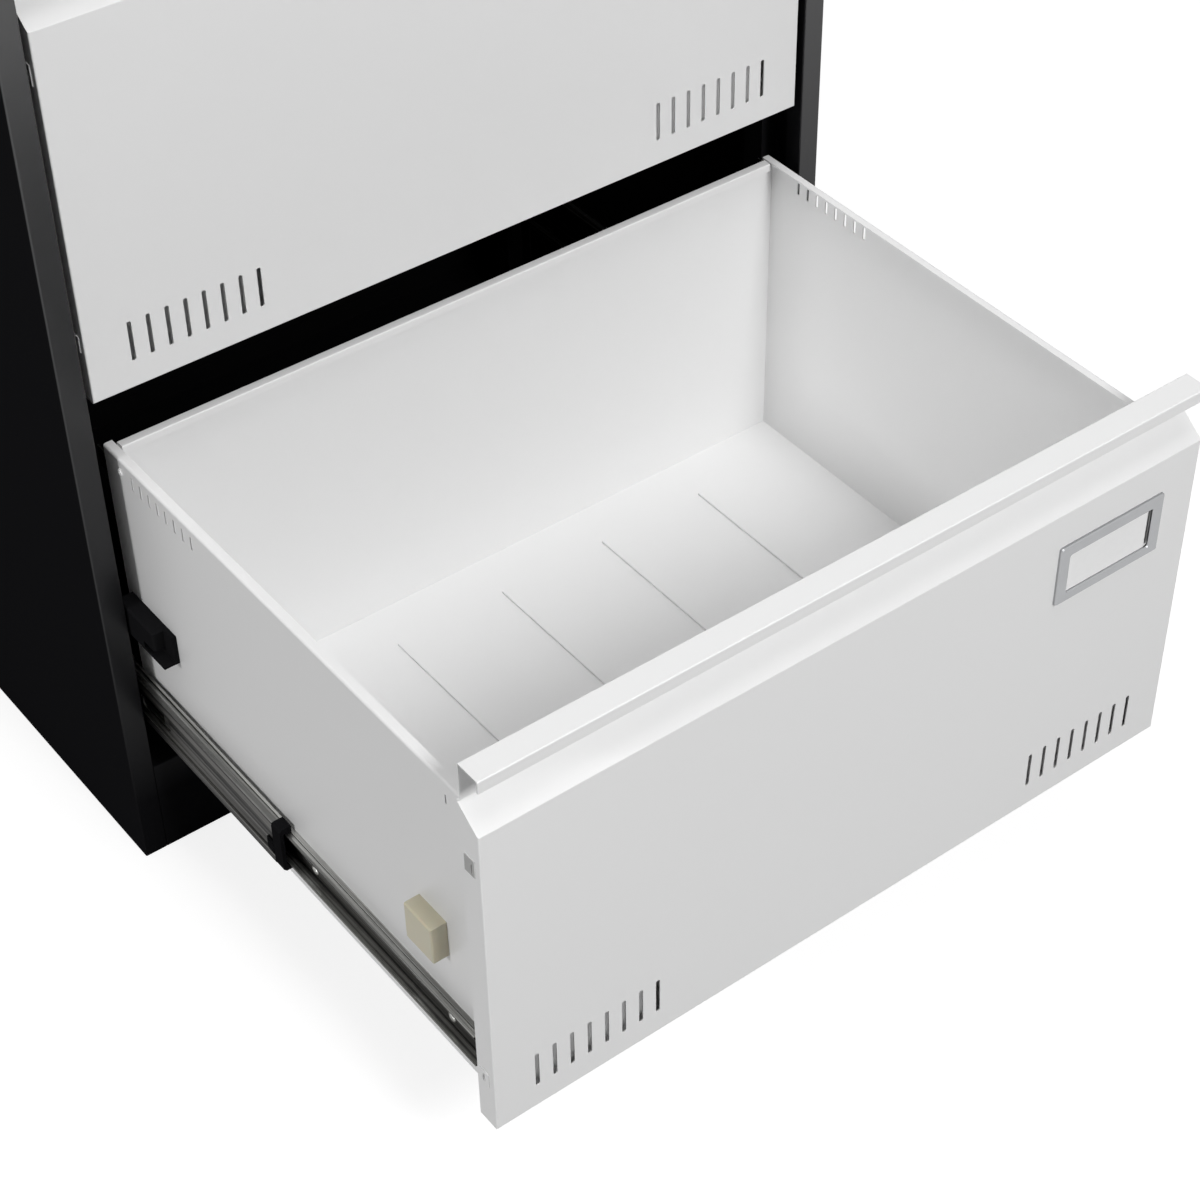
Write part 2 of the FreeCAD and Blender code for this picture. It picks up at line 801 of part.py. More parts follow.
def make_front(drawer):
    """Fold the drawer front: face, bevel, finger recess and hemmed lip, with side returns."""
    body = make_body(f"{drawer}_front")
    half = "front_width / 2"
    wall = "handle_depth - sheet"
    face_path = [
        ("return_depth", "0"),
        ("0", "0"),
        ("0", "face_height"),
        (wall, "bevel_top"),
        (wall, "bevel_top + 2 * sheet"),
    ]
    prism(body, "YZ_Plane", bent(face_path, "sheet", -1), f"-{half}", "front_width")
    slope = "(bevel_top - face_height) / (handle_depth - sheet)"
    return_outline = [
        ("0", "0"),
        ("return_depth", "0"),
        ("return_depth", f"face_height + return_depth * {slope}"),
        ("0", "face_height"),
    ]
    side_return = prism(body, "YZ_Plane", return_outline, f"{half} - sheet", "sheet")
    mirror_across_middle(body, [side_return])
    top = "front_height - sheet"
    handle_path = [
        (wall, "bevel_top + sheet"),
        (wall, top),
        ("sheet", top),
        ("sheet", "front_height - lip_height"),
    ]
    handle_reach = f"({half} - handle_inset)"
    handle = bent(handle_path, "sheet", -1)
    prism(body, "YZ_Plane", handle, f"-{handle_reach}", f"2 * {handle_reach}")
    hem = rectangle(
        "sheet",
        "2 * sheet",
        "front_height - lip_height",
        "front_height - lip_height + lip_hem",
    )
    prism(body, "YZ_Plane", hem, f"-{handle_reach}", f"2 * {handle_reach}")
    round_edges(
        body,
        "bend_radius",
        {"x": half, "y": "0"},
        {"x": f"-{half}", "y": "0"},
        {"y": "0", "z": "0"},
        {"y": "0", "z": "face_height"},
        {"y": "0", "z": "front_height"},
        {"y": "handle_depth", "z": "front_height"},
    )
    for first in ("vent_inner", "-vent_inner - (vent_count - 1) * vent_pitch"):
        outline = clipped_slot(
            f"{first} - vent_width / 2",
            f"{first} + vent_width / 2",
            "vent_bottom",
            "vent_top",
            "vent_width * 0.3",
        )
        vent = cut_prism(body, "XZ_Plane", outline, "-1", "3")
        repeat(body, vent, "X_Axis", "vent_pitch", "vent_count")
    add_return_clips(body, half)
    window_right = "(holder_right - holder_border)"
    finger_slot = clipped_slot(
        f"{window_right} - finger_slot",
        window_right,
        "holder_bottom + holder_border_low + 0.5",
        "holder_top - holder_border - 0.5",
        "finger_slot / 3",
    )
    cut_prism(body, "XZ_Plane", finger_slot, "-1", "3")
    place_on_drawer(body, drawer)


def add_return_clips(body, half):
    """Stand the heads of the two clips on each side return and cut the slit in each head."""
    clip_rear = "clip_front + clip_depth"
    upper_clip = rectangle("clip_front", clip_rear, "upper_clip", "upper_clip + upper_clip_height")
    lower_top = "lower_clip + lower_clip_height"
    lower_clip = [
        ("clip_front", "lower_clip + 2"),
        (clip_rear, "lower_clip"),
        (clip_rear, lower_top),
        ("clip_front", f"{lower_top} - 1"),
    ]
    heads = []
    for outline in (upper_clip, lower_clip):
        heads.append(prism(body, "YZ_Plane", outline, half, "clip_thickness"))
    slits = []
    for slit in (
        rectangle("clip_front + 2", "clip_front + 3", "upper_clip + 2", "upper_clip + 9.5"),
        rectangle("clip_front + 4", "clip_front + 6", "lower_clip + 4", "lower_clip + 10"),
    ):
        slits.append(cut_prism(body, "YZ_Plane", slit, f"{half} - 1", "2"))
    mirror_across_middle(body, heads)
    mirror_across_middle(body, slits)


def make_inner_front(drawer):
    """Close the back of the front with the front wall of the drawer box."""
    body = make_body(f"{drawer}_inner_front")
    edge = "(front_width / 2 - sheet)"
    forward = "return_depth - 10"
    path = [
        (f"-{edge}", forward),
        (f"-{edge}", "return_depth"),
        (edge, "return_depth"),
        (edge, forward),
    ]
    prism(body, "XY_Plane", bent(path, "sheet", -1), "sheet", "face_height - 2 * sheet")
    upper = rectangle(f"-{edge}", edge, "face_height - 2 * sheet", "bevel_top - 3")
    prism(body, "XZ_Plane", upper, "return_depth - sheet", "sheet")
    place_on_drawer(body, drawer)


def make_drawer_side(drawer, name, side):
    """Fold a drawer side with its floor flange and the rolled edge along its top."""
    body = make_body(f"{drawer}_side_{name}")
    wall = f"{side} * box_width / 2"
    hem = f"{side} * (box_width / 2 - hem_width)"
    path = [
        (f"{side} * (box_width / 2 - box_flange)", "box_bottom"),
        (wall, "box_bottom"),
        (wall, "box_top"),
        (hem, "box_top"),
        (hem, "box_top - 2 * sheet"),
    ]
    outline = bent(path, "sheet", side)
    prism(body, "XZ_Plane", outline, "return_depth", "side_end - return_depth")
    front_flange = rectangle(
        f"{side} * (box_width / 2 - box_flange)",
        wall,
        "box_bottom",
        "box_top - box_flange",
    )
    prism(body, "XZ_Plane", front_flange, "return_depth", "sheet")
    round_edges(body, "hem_radius", {"x": wall, "z": "box_top"})
    round_edges(body, "bend_radius", {"x": wall, "z": "box_bottom"})
    sketch_start = f"{wall} - 2"
    rear_slot = rectangle(
        "side_vent_first - side_vent_width / 2",
        "side_vent_first + side_vent_width / 2",
        "side_vent_bottom",
        "side_vent_top",
    )
    vent = cut_prism(body, "YZ_Plane", rear_slot, sketch_start, "4")
    row = repeat(body, vent, "Y_Axis", "side_vent_pitch", "vent_count")
    row.Reversed = True
    front_slot = rectangle(
        "front_slot - front_slot_width / 2",
        "front_slot + front_slot_width / 2",
        "side_vent_bottom",
        "side_vent_bottom + 7",
    )
    cut_prism(body, "YZ_Plane", front_slot, sketch_start, "4")
    place_on_drawer(body, drawer)


def make_drawer_back(drawer):
    """Fold the drawer back, whose hemmed top stops short of the sides."""
    body = make_body(f"{drawer}_back")
    reach = "(box_width / 2 - sheet)"
    wall = rectangle(f"-{reach}", reach, "box_bottom + sheet", "box_top - back_drop")
    prism(body, "XZ_Plane", wall, "back_face - sheet", "sheet")
    foot_reach = "(box_width / 2 - box_flange - fit_gap)"
    foot = rectangle(f"-{foot_reach}", foot_reach, "back_face - box_flange", "back_face")
    prism(body, "XY_Plane", foot, "box_bottom", "sheet")
    hem_reach = "(box_width / 2 - hem_width - corner_gap)"
    path = [
        ("back_face", "box_top - back_drop - sheet"),
        ("back_face", "box_top"),
        ("back_face - back_hem", "box_top"),
        ("back_face - back_hem", "box_top - back_drop"),
    ]
    prism(body, "YZ_Plane", bent(path, "sheet", 1), f"-{hem_reach}", f"2 * {hem_reach}")
    round_edges(
        body,
        "bend_radius",
        {"y": "back_face", "z": "box_top"},
        {"y": "back_face - back_hem", "z": "box_top"},
    )
    place_on_drawer(body, drawer)


def make_drawer_floor(drawer):
    """Lay the floor on the side flanges and press ribs into it."""
    body = make_body(f"{drawer}_floor")
    reach = "(box_width / 2 - sheet)"
    level = "box_bottom + sheet"
    front = "return_depth + sheet"
    outline = rectangle(f"-{reach}", reach, front, "back_face - sheet")
    prism(body, "XY_Plane", outline, level, "sheet")
    half = "floor_rib_width / 2"
    first = "-box_width / 3"
    rib = rectangle(
        f"{first} - {half}",
        f"{first} + {half}",
        f"{front} + floor_rib_margin",
        "back_face - floor_rib_margin",
    )
    raised = prism(body, "XY_Plane", rib, f"{level} + sheet", "floor_rib_height")
    repeat(body, raised, "X_Axis", "box_width / 6", "floor_rib_count")
    hollow = rectangle(
        f"{first} - {half} + sheet",
        f"{first} + {half} - sheet",
        f"{front} + floor_rib_margin + sheet",
        "back_face - floor_rib_margin - sheet",
    )
    pressed = cut_prism(body, "XY_Plane", hollow, level, "floor_rib_height")
    repeat(body, pressed, "X_Axis", "box_width / 6", "floor_rib_count")
    place_on_drawer(body, drawer)


def make_card_holder(drawer):
    """Make the metal frame on the front that holds the card."""
    body = make_body(f"{drawer}_card_holder")
    outer = rectangle("holder_left", "holder_right", "holder_bottom", "holder_top")
    prism(body, "XZ_Plane", outer, "-holder_thickness", "holder_thickness")
    corners = [
        {"x": x, "z": z}
        for x in ("holder_left", "holder_right")
        for z in ("holder_bottom", "holder_top")
    ]
    round_edges(body, "holder_corner", *corners)
    window_left = "holder_left + holder_border"
    window_right = "holder_right - holder_border"
    window_bottom = "holder_bottom + holder_border_low"
    window_top = "holder_top - holder_border"
    window = rectangle(window_left, window_right, window_bottom, window_top)
    cut_prism(body, "XZ_Plane", window, "-holder_thickness - 1", "holder_thickness + 2")
    window_corners = [
        {"x": x, "z": z}
        for x in (window_left, window_right)
        for z in (window_bottom, window_top)
    ]
    round_edges(body, "window_corner", *window_corners)
    bevel_edges(body, "holder_bevel", {"y": "-holder_thickness"})
    card_space = rectangle(
        f"{window_left} - card_margin",
        "holder_right + 1",
        f"{window_bottom} - card_margin",
        f"{window_top} + card_margin",
    )
    cut_prism(body, "XZ_Plane", card_space, "-card_thickness - fit_gap", "card_thickness + fit_gap + 1")
    place_on_drawer(body, drawer)


def make_card(drawer):
    """Slide a blank card into the holder."""
    body = make_body(f"{drawer}_card")
    outline = rectangle(
        "holder_left + holder_border - card_margin + fit_gap",
        "holder_right - holder_border - finger_slot",
        "holder_bottom + holder_border_low - card_margin + fit_gap",
        "holder_top - holder_border + card_margin - fit_gap",
    )
    prism(body, "XZ_Plane", outline, "-card_thickness", "card_thickness")
    place_on_drawer(body, drawer)


def make_catch_block(drawer):
    """Mould the nylon block that the lock bar stops."""
    body = make_body(f"{drawer}_catch_block")
    outer = "-box_width / 2 - block_depth"
    front = "catch_front"
    rear = "catch_front + catch_length"
    top = "catch_bottom + catch_height"
    outline = rectangle(front, rear, "catch_bottom", top)
    prism(body, "YZ_Plane", outline, outer, "block_depth")
    round_edges(
        body,
        "1.5",
        {"x": outer, "z": top},
        {"x": outer, "z": "catch_bottom"},
        {"x": outer, "y": front},
        {"x": outer, "y": rear},
    )
    place_on_drawer(body, drawer)


def make_guide_block(drawer):
    """Mould the black block at the rear of the left side: a socket under a nose."""
    body = make_body(f"{drawer}_guide_block")
    wall = "(-box_width / 2)"
    outer = f"({wall} - block_depth)"
    top = "guide_bottom + guide_height"
    plate = rectangle("guide_front", "guide_rear", "guide_bottom", top)
    prism(body, "YZ_Plane", plate, f"{wall} - guide_plate", "guide_plate")
    foot = rectangle("guide_front", "guide_rear", "guide_bottom", "guide_bottom + guide_foot")
    prism(body, "YZ_Plane", foot, outer, "block_depth")
    nose_bottom = "guide_bottom + guide_height / 3"
    profile = [
        ("guide_nose", nose_bottom),
        ("guide_nose + 14", nose_bottom),
        ("guide_nose + 14", "guide_bottom"),
        ("guide_rear", "guide_bottom"),
        ("guide_rear", top),
        ("guide_nose", top),
    ]
    prism(body, "YZ_Plane", profile, outer, "block_depth")
    bevel_edges(
        body,
        "1.2",
        {"x": outer, "z": top},
        {"x": outer, "y": "guide_nose"},
        {"y": "guide_nose", "z": top},
    )
    place_on_drawer(body, drawer)


def make_corner_brackets(drawer):
    """Bend the small brackets at the two rear top corners of the drawer box."""
    brackets = []
    for name, side in SIDES.items():
        body = doc.addObject("PartDesign::Body", f"{drawer}_bracket_{name}")
        corner = f"{side} * (box_width / 2 - sheet)"
        path = [
            (f"{side} * (box_width / 2 - bracket_width)", "back_face"),
            (corner, "back_face"),
            (corner, "back_face + bracket_depth"),
        ]
        outline = bent(path, "slide_steel", side)
        prism(body, "XY_Plane", outline, "box_top - bracket_drop", "bracket_height")
        brackets.append(body)
    group = make_group(f"{drawer}_corner_brackets", brackets)
    place_on_drawer(group, drawer)


def make_drawer_fasteners(drawer):
    """Set the screws of the drawer members and the rivets of the corner brackets."""
    studs = []
    inward = {LEFT: FreeCAD.Vector(1, 0, 0), RIGHT: FreeCAD.Vector(-1, 0, 0)}
    for name, side in SIDES.items():
        for number in range(3):
            studs.append(
                make_stud(
                    f"{drawer}_screw_{name}_{number}",
                    inward[side],
                    slide_x(side, "9.9"),
                    f"inner_start + screw_first + {number} * screw_pitch",
                    "slide_height",
                    "screw_radius",
                    "screw_head",
                )
            )
        studs.append(
            make_stud(
                f"{drawer}_rivet_{name}",
                FreeCAD.Vector(0, 1, 0),
                f"{side} * (box_width / 2 - bracket_width / 2 - 1)",
                "back_face + slide_steel",
                "box_top - bracket_drop + bracket_height / 2",
                "rivet_radius",
                "rivet_head",
            )
        )
        studs.append(
            make_stud(
                f"{drawer}_wall_rivet_{name}",
                FreeCAD.Vector(side, 0, 0),
                f"{side} * box_width / 2",
                "wall_rivet",
                "box_top - 10",
                "rivet_radius",
                "rivet_head",
            )
        )
    group = make_group(f"{drawer}_fasteners", studs)
    place_on_drawer(group, drawer)


# Lock

def place_on_lock(piece):
    """Seat a piece drawn about the lock's axis."""
    place(piece, x="-lock_offset", y="-carcass_depth / 2", z="lock_height")


def turn(body, outline):
    """Turn a solid about the body's Y axis from its radius and length."""
    sketch = start_sketch(body, "XY_Plane", "0")
    polygon(sketch, outline)
    revolution = body.newObject("PartDesign::Revolution", f"{body.Name}_Turned")
    revolution.Profile = sketch
    revolution.ReferenceAxis = (origin_feature(body, "Y_Axis"), [""])
    sketch.Visibility = False
    return revolution


def make_lock_housing():
    """Turn the barrel that passes through the rail, with its bezel."""
    body = make_body("lock_housing")
    bore = "plug_radius + fit_gap"
    turn(
        body,
        [
            (bore, "-bezel_depth"),
            ("barrel_radius + 1.5", "-bezel_depth"),
            ("barrel_radius + 2", "0"),
            ("barrel_radius", "0"),
            ("barrel_radius", "barrel_length"),
            (bore, "barrel_length"),
        ],
    )
    place_on_lock(body)


def make_lock_nut():
    """Make the hexagon nut that clamps the housing to the rail."""
    body = make_body("lock_nut")
    sketch = start_sketch(body, "XZ_Plane", "sheet")
    across = "(barrel_radius + 4)"
    corners = []
    for number in range(6):
        angle = math.radians(60 * number)
        corners.append((f"{across} * {math.cos(angle):.6f}", f"{across} * {math.sin(angle):.6f}"))
    polygon(sketch, corners)
    circle(sketch, "0", "0", "barrel_radius")
    add_pad(body, sketch, "nut_thickness")
    place_on_lock(body)


def make_lock_plug():
    """Turn the plug and cut its key slot."""
    body = make_body("lock_plug")
    turn(
        body,
        [
            ("0", "-1.6"),
            ("plug_radius", "-1.6"),
            ("plug_radius", "barrel_length + 0.5"),
            ("0", "barrel_length + 0.5"),
        ],
    )
    half_width = "key_slot_width / 2"
    half_length = "key_slot_length / 2"
    key_slot = rectangle(f"-{half_width}", half_width, f"-{half_length}", half_length)
    cut_prism(body, "XZ_Plane", key_slot, "-3", "12")
    place_on_lock(body)


def make_lock_cam():
    """Cut the cam behind the plug and give it the crank pin that moves the bar."""
    body = make_body("lock_cam")
    arm = start_sketch(body, "XZ_Plane", "barrel_length + 0.5")
    round_slot(arm, ("0", "0"), ("0", "crank_radius"), "pin_radius + 3")
    add_pad(body, arm, "cam_thickness")
    pin = start_sketch(body, "XZ_Plane", "barrel_length + 0.5 + cam_thickness")
    circle(pin, "0", "crank_radius", "pin_radius")
    add_pad(body, pin, "pin_length")
    place_on_lock(body)
    body.Placement.Rotation = FreeCAD.Rotation(FreeCAD.Vector(0, 1, 0), 45)


def make_lock_bar():
    """Make the bar: a strip with a slotted arm for the crank pin and a tab at each drawer."""
    body = make_body("lock_bar")
    strip_x = "(-carcass_width / 2 + bar_wall_gap)"
    inner = f"({strip_x} + bar_thickness)"
    low_tab = "(drawer_base + guide_bottom + guide_height + tab_gap)"
    pin_height = "(lock_height + crank_radius * cos(45deg))"
    strip = rectangle(
        "bar_front",
        "bar_front + bar_width",
        f"{low_tab} - 15",
        f"{pin_height} + 7",
    )
    prism(body, "YZ_Plane", strip, strip_x, "bar_thickness")
    arm = rectangle(
        inner,
        "-lock_offset + crank_radius + 6",
        f"{pin_height} - 6.5",
        f"{pin_height} + 7",
    )
    prism(body, "XZ_Plane", arm, "-carcass_depth / 2 + 26", "bar_thickness")
    slot = start_sketch(body, "XZ_Plane", "-carcass_depth / 2 + 25")
    slot_ends = ("-lock_offset + crank_radius * cos(45deg)", "-lock_offset + crank_radius")
    round_slot(slot, slot_ends, (pin_height, pin_height), "pin_radius + pin_play")
    cut_sketch(body, slot, "4")
    finger_inner = "-box_width / 2 - 3.5"
    finger_outer = "-box_width / 2 - 11"
    finger_end = "catch_front - carcass_depth / 2 + front_inset - 3"
    tab = [
        (inner, "bar_front"),
        (finger_inner, "bar_front"),
        (finger_inner, finger_end),
        (finger_outer, finger_end),
        (finger_outer, "bar_front + bar_width"),
        (inner, "bar_front + bar_width"),
    ]
    first = prism(body, "XY_Plane", tab, low_tab, "tab_thickness")
    repeat(body, first, "Z_Axis", "drawer_pitch", "drawer_count")


def make_lock_bar_guides():
    """Bend the three keepers that hold the bar against the left wall."""
    guides = []
    wall = "-carcass_width / 2 + sheet"
    inner = "-carcass_width / 2 + bar_wall_gap + bar_thickness + 2"
    for number, height in enumerate(("260", "480", "650")):
        body = doc.addObject("PartDesign::Body", f"lock_bar_guide_{number}")
        path = [
            (wall, "bar_front - 5"),
            (inner, "bar_front - 5"),
            (inner, "bar_front + bar_width + 3"),
            (f"{wall} + slide_steel", "bar_front + bar_width + 3"),
        ]
        prism(body, "XY_Plane", bent(path, "1", 1), height, "20")
        guides.append(body)
    make_group("lock_bar_guides", guides)


def make_carcass_fasteners():
    """Set the screws of the cabinet members and the rivets of the back panel."""
    studs = []
    inward = {LEFT: FreeCAD.Vector(-1, 0, 0), RIGHT: FreeCAD.Vector(1, 0, 0)}
    heights = [f"drawer_base + {index} * drawer_pitch + slide_height" for index in DRAWERS.values()]
    for name, side in SIDES.items():
        for height_number, height in enumerate(heights):
            for y_number, y in enumerate(("upright_front", "upright_rear")):
                studs.append(
                    make_stud(
                        f"slide_screw_{name}_{height_number}_{y_number}",
                        inward[side],
                        slide_x(side, "-slide_steel"),
                        y,
                        height,
                        "screw_radius + 0.4",
                        "slide_steel + screw_head",
                    )
                )
        for number in range(4):
            studs.append(
                make_stud(
                    f"back_rivet_{name}_{number}",
                    FreeCAD.Vector(0, 1, 0),
                    f"{side} * (carcass_width / 2 - rear_flange / 2)",
                    "carcass_depth / 2",
                    f"rear_rivet_first + {number} * rear_rivet_pitch",
                    "rivet_radius",
                    "rivet_head",
                )
            )
    make_group("carcass_fasteners", studs)


def build():
    """Make every sub-part of the cabinet."""
    for name, side in SIDES.items():
        make_side_panel(name, side)
        make_upright(f"front_upright_{name}", side, "upright_front")
        make_upright(f"rear_upright_{name}", side, "upright_rear")
    make_back_panel()
    make_top_panel()
    make_bottom_pan()
    make_front_top_rail()
    make_kick_plate()
    for drawer in DRAWERS:
        for name, side in SIDES.items():
            make_outer_member(drawer, name, side)
            make_middle_member(drawer, name, side)
            make_inner_member(drawer, name, side)
            make_drawer_side(drawer, name, side)
        make_end_stops(drawer)
        make_ball_cages(drawer)
        make_front(drawer)
        make_inner_front(drawer)
        make_drawer_back(drawer)
        make_drawer_floor(drawer)
        make_card_holder(drawer)
        make_card(drawer)
        make_catch_block(drawer)
        make_guide_block(drawer)
        make_corner_brackets(drawer)
        make_drawer_fasteners(drawer)
    make_lock_housing()
    make_lock_nut()
    make_lock_plug()
    make_lock_cam()
    make_lock_bar()
    make_lock_bar_guides()
    make_carcass_fasteners()
    doc.recompute()


def check():
    """Stop where any object failed or a sub-part is empty or broken."""
    for item in doc.Objects:
        if {"Invalid", "Error"} & set(item.State):
            raise RuntimeError(f"{item.Label} failed: {item.State}")
    for piece in pieces:
        if piece.Shape.isNull() or not piece.Shape.isValid():
            raise RuntimeError(f"{piece.Label} has no valid shape")


def write():
    """Write each sub-part to its own file."""
    os.makedirs("parts", exist_ok=True)
    for piece in pieces:
        piece.Shape.exportStep(f"parts/{piece.Label}.step")


build()
check()
write()
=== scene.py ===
import json
import math
from typing import NamedTuple

import bmesh
import bpy
from mathutils import Matrix, Vector


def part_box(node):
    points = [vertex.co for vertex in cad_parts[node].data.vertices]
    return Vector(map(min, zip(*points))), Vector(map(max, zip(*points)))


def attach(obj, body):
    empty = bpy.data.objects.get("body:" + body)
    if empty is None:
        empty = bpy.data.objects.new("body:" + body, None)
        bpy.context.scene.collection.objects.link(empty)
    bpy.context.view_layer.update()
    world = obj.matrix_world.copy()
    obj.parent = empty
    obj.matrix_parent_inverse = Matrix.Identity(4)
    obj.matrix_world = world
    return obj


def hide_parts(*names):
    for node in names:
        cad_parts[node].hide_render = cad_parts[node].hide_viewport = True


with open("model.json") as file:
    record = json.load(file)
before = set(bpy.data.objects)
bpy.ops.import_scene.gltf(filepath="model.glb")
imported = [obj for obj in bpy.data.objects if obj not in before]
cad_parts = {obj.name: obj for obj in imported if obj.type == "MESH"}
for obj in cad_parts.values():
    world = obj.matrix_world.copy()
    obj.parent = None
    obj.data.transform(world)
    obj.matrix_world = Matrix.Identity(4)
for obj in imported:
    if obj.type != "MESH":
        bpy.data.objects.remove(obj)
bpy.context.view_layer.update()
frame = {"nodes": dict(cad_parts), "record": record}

bl_info = {
    "name": "Filing cabinet",
    "version": (1, 0, 0),
    "blender": (4, 5, 0),
    "location": "View3D > Sidebar > Cabinet",
    "description": "Finishes, slide balls, screws and studio for a lateral filing cabinet",
    "category": "Object",
}

DRAWERS = ("lower", "upper")
SIDES = {"left": -1, "right": 1}
MILLIMETRE = 0.001
WHITE = (1.0, 1.0, 1.0, 1.0)


# Hardware


class Race(NamedTuple):
    """Where a row of balls starts in a slide.

    The first ball lies in from the slide's outer face, above and below the slide's middle height, and
    back from the front end of the middle member.
    """

    depth: float
    height: float
    start: float


RACES = {
    "outer": Race(depth=6.7 * MILLIMETRE, height=19.5 * MILLIMETRE, start=230.5 * MILLIMETRE),
    "inner": Race(depth=8.2 * MILLIMETRE, height=14.46 * MILLIMETRE, start=35.5 * MILLIMETRE),
}
BALL_SUBDIVISIONS = 3

# A head's shape. Its widths and the start of its rounded rim are shares of its radius, and its depths
# are shares of its height. The recess gets shallower towards the rim.
CROWN_DROP = 0.18
RIM_START = 0.82
RECESS_ARM = 0.56
RECESS_HALF_WIDTH = 0.13
RECESS_DEPTH = 0.41
RECESS_RISE = 0.205
MANDREL_RADIUS = 0.26
MANDREL_DEPTH = 0.35
HEAD_RINGS = 22
HEAD_SPOKES = 64

# A stud no higher than this is a rivet, and a higher one is a screw.
TALLEST_RIVET = 1.5 * MILLIMETRE
# Studs are sorted by sizes that are rounded to a hundredth of a millimetre.
SIZE_DECIMALS = 5
# A wall rivet lies close to the drawer's wall, in a band below the highest stud.
WALL_PLAY = 2 * MILLIMETRE
RIVET_BAND = 20 * MILLIMETRE

# A clip's cover is a grid of three by three slabs round its slit. The edges of the grid are measured
# back and up from the lower front corner of the drawer's front.
CLIP_DEPTHS = [value * MILLIMETRE for value in (5.3, 7.0, 8.0, 14.4)]
CLIP_HEIGHTS = [value * MILLIMETRE for value in (218.8, 220.5, 228.0, 231.7)]
CLIP_SLIT = (1, 1)
CLIP_PROUD = 0.15 * MILLIMETRE
# The corners of a box's faces as seen from outside, counted round its bottom and then round its top.
BOX_FACES = ((3, 2, 1, 0), (4, 5, 6, 7), (0, 1, 5, 4), (1, 2, 6, 5), (2, 3, 7, 6), (3, 0, 4, 7))


# Lamps and floor


class Lamp(NamedTuple):
    """A soft round lamp, which stands from its target in a direction and shines back on it."""

    name: str
    width: float
    direction: tuple
    target: tuple


LAMP_DISTANCE = 4.0
LAMPS = (
    Lamp("overhead", 2.4, (0.0, -0.15, 1.0), (0.0, -0.2, 0.4)),
    Lamp("front", 1.2, (0.0, -0.78, 0.62), (0.0, -0.3, 0.4)),
    Lamp("side", 0.6, (-0.92, 0.0, 0.39), (-0.3, -0.225, 0.25)),
)

# The floor lies a hair below the cabinet. Its glow rises to full white over a stretch that starts at
# a distance from the middle. Direct views see the glow and the shown grey, which takes the shadow,
# and other light bounces off the lit grey.
FLOOR_DROP = 0.4 * MILLIMETRE
FLOOR_GLOW = 0.8
GLOW_RISE_START = 1.0
GLOW_RISE_LENGTH = 2.0
SHOWN_GREY = (0.34, 0.34, 0.34, 1.0)
LIT_GREY = (0.3, 0.3, 0.3, 1.0)


# Shader writing


class Signal:
    """A shader socket that takes part in Python arithmetic by adding Math nodes."""

    def __init__(self, finish, socket):
        self.finish = finish
        self.socket = socket

    def combine(self, operation, first, second=None):
        """Add one Math node on one or two values or sockets."""
        inputs = {0: first}
        if second is not None:
            inputs[1] = second
        return self.finish.add("ShaderNodeMath", {"operation": operation}, inputs)

    def __add__(self, other):
        return self.combine("ADD", self, other)

    def __radd__(self, other):
        return self.combine("ADD", other, self)

    def __sub__(self, other):
        return self.combine("SUBTRACT", self, other)

    def __rsub__(self, other):
        return self.combine("SUBTRACT", other, self)

    def __mul__(self, other):
        return self.combine("MULTIPLY", self, other)

    def __rmul__(self, other):
        return self.combine("MULTIPLY", other, self)

    def __truediv__(self, other):
        return self.combine("DIVIDE", self, other)

    def __rtruediv__(self, other):
        return self.combine("DIVIDE", other, self)

    def __pow__(self, other):
        return self.combine("POWER", self, other)

    def __rpow__(self, other):
        return self.combine("POWER", other, self)

    def __abs__(self):
        return self.combine("ABSOLUTE", self)

    def clamped(self):
        """Keep the value between 0 and 1."""
        return self.combine("MINIMUM", self.combine("MAXIMUM", self, 0.0), 1.0)

    def sharpened(self, contrast, cut):
        """Raise the contrast, take a cut off and keep the rest between 0 and 1."""
        return (self * contrast - cut).clamped()

    def swing(self, spread):
        """Turn a value from 0 to 1 into one that swings about 0."""
        return (self - 0.5) * spread


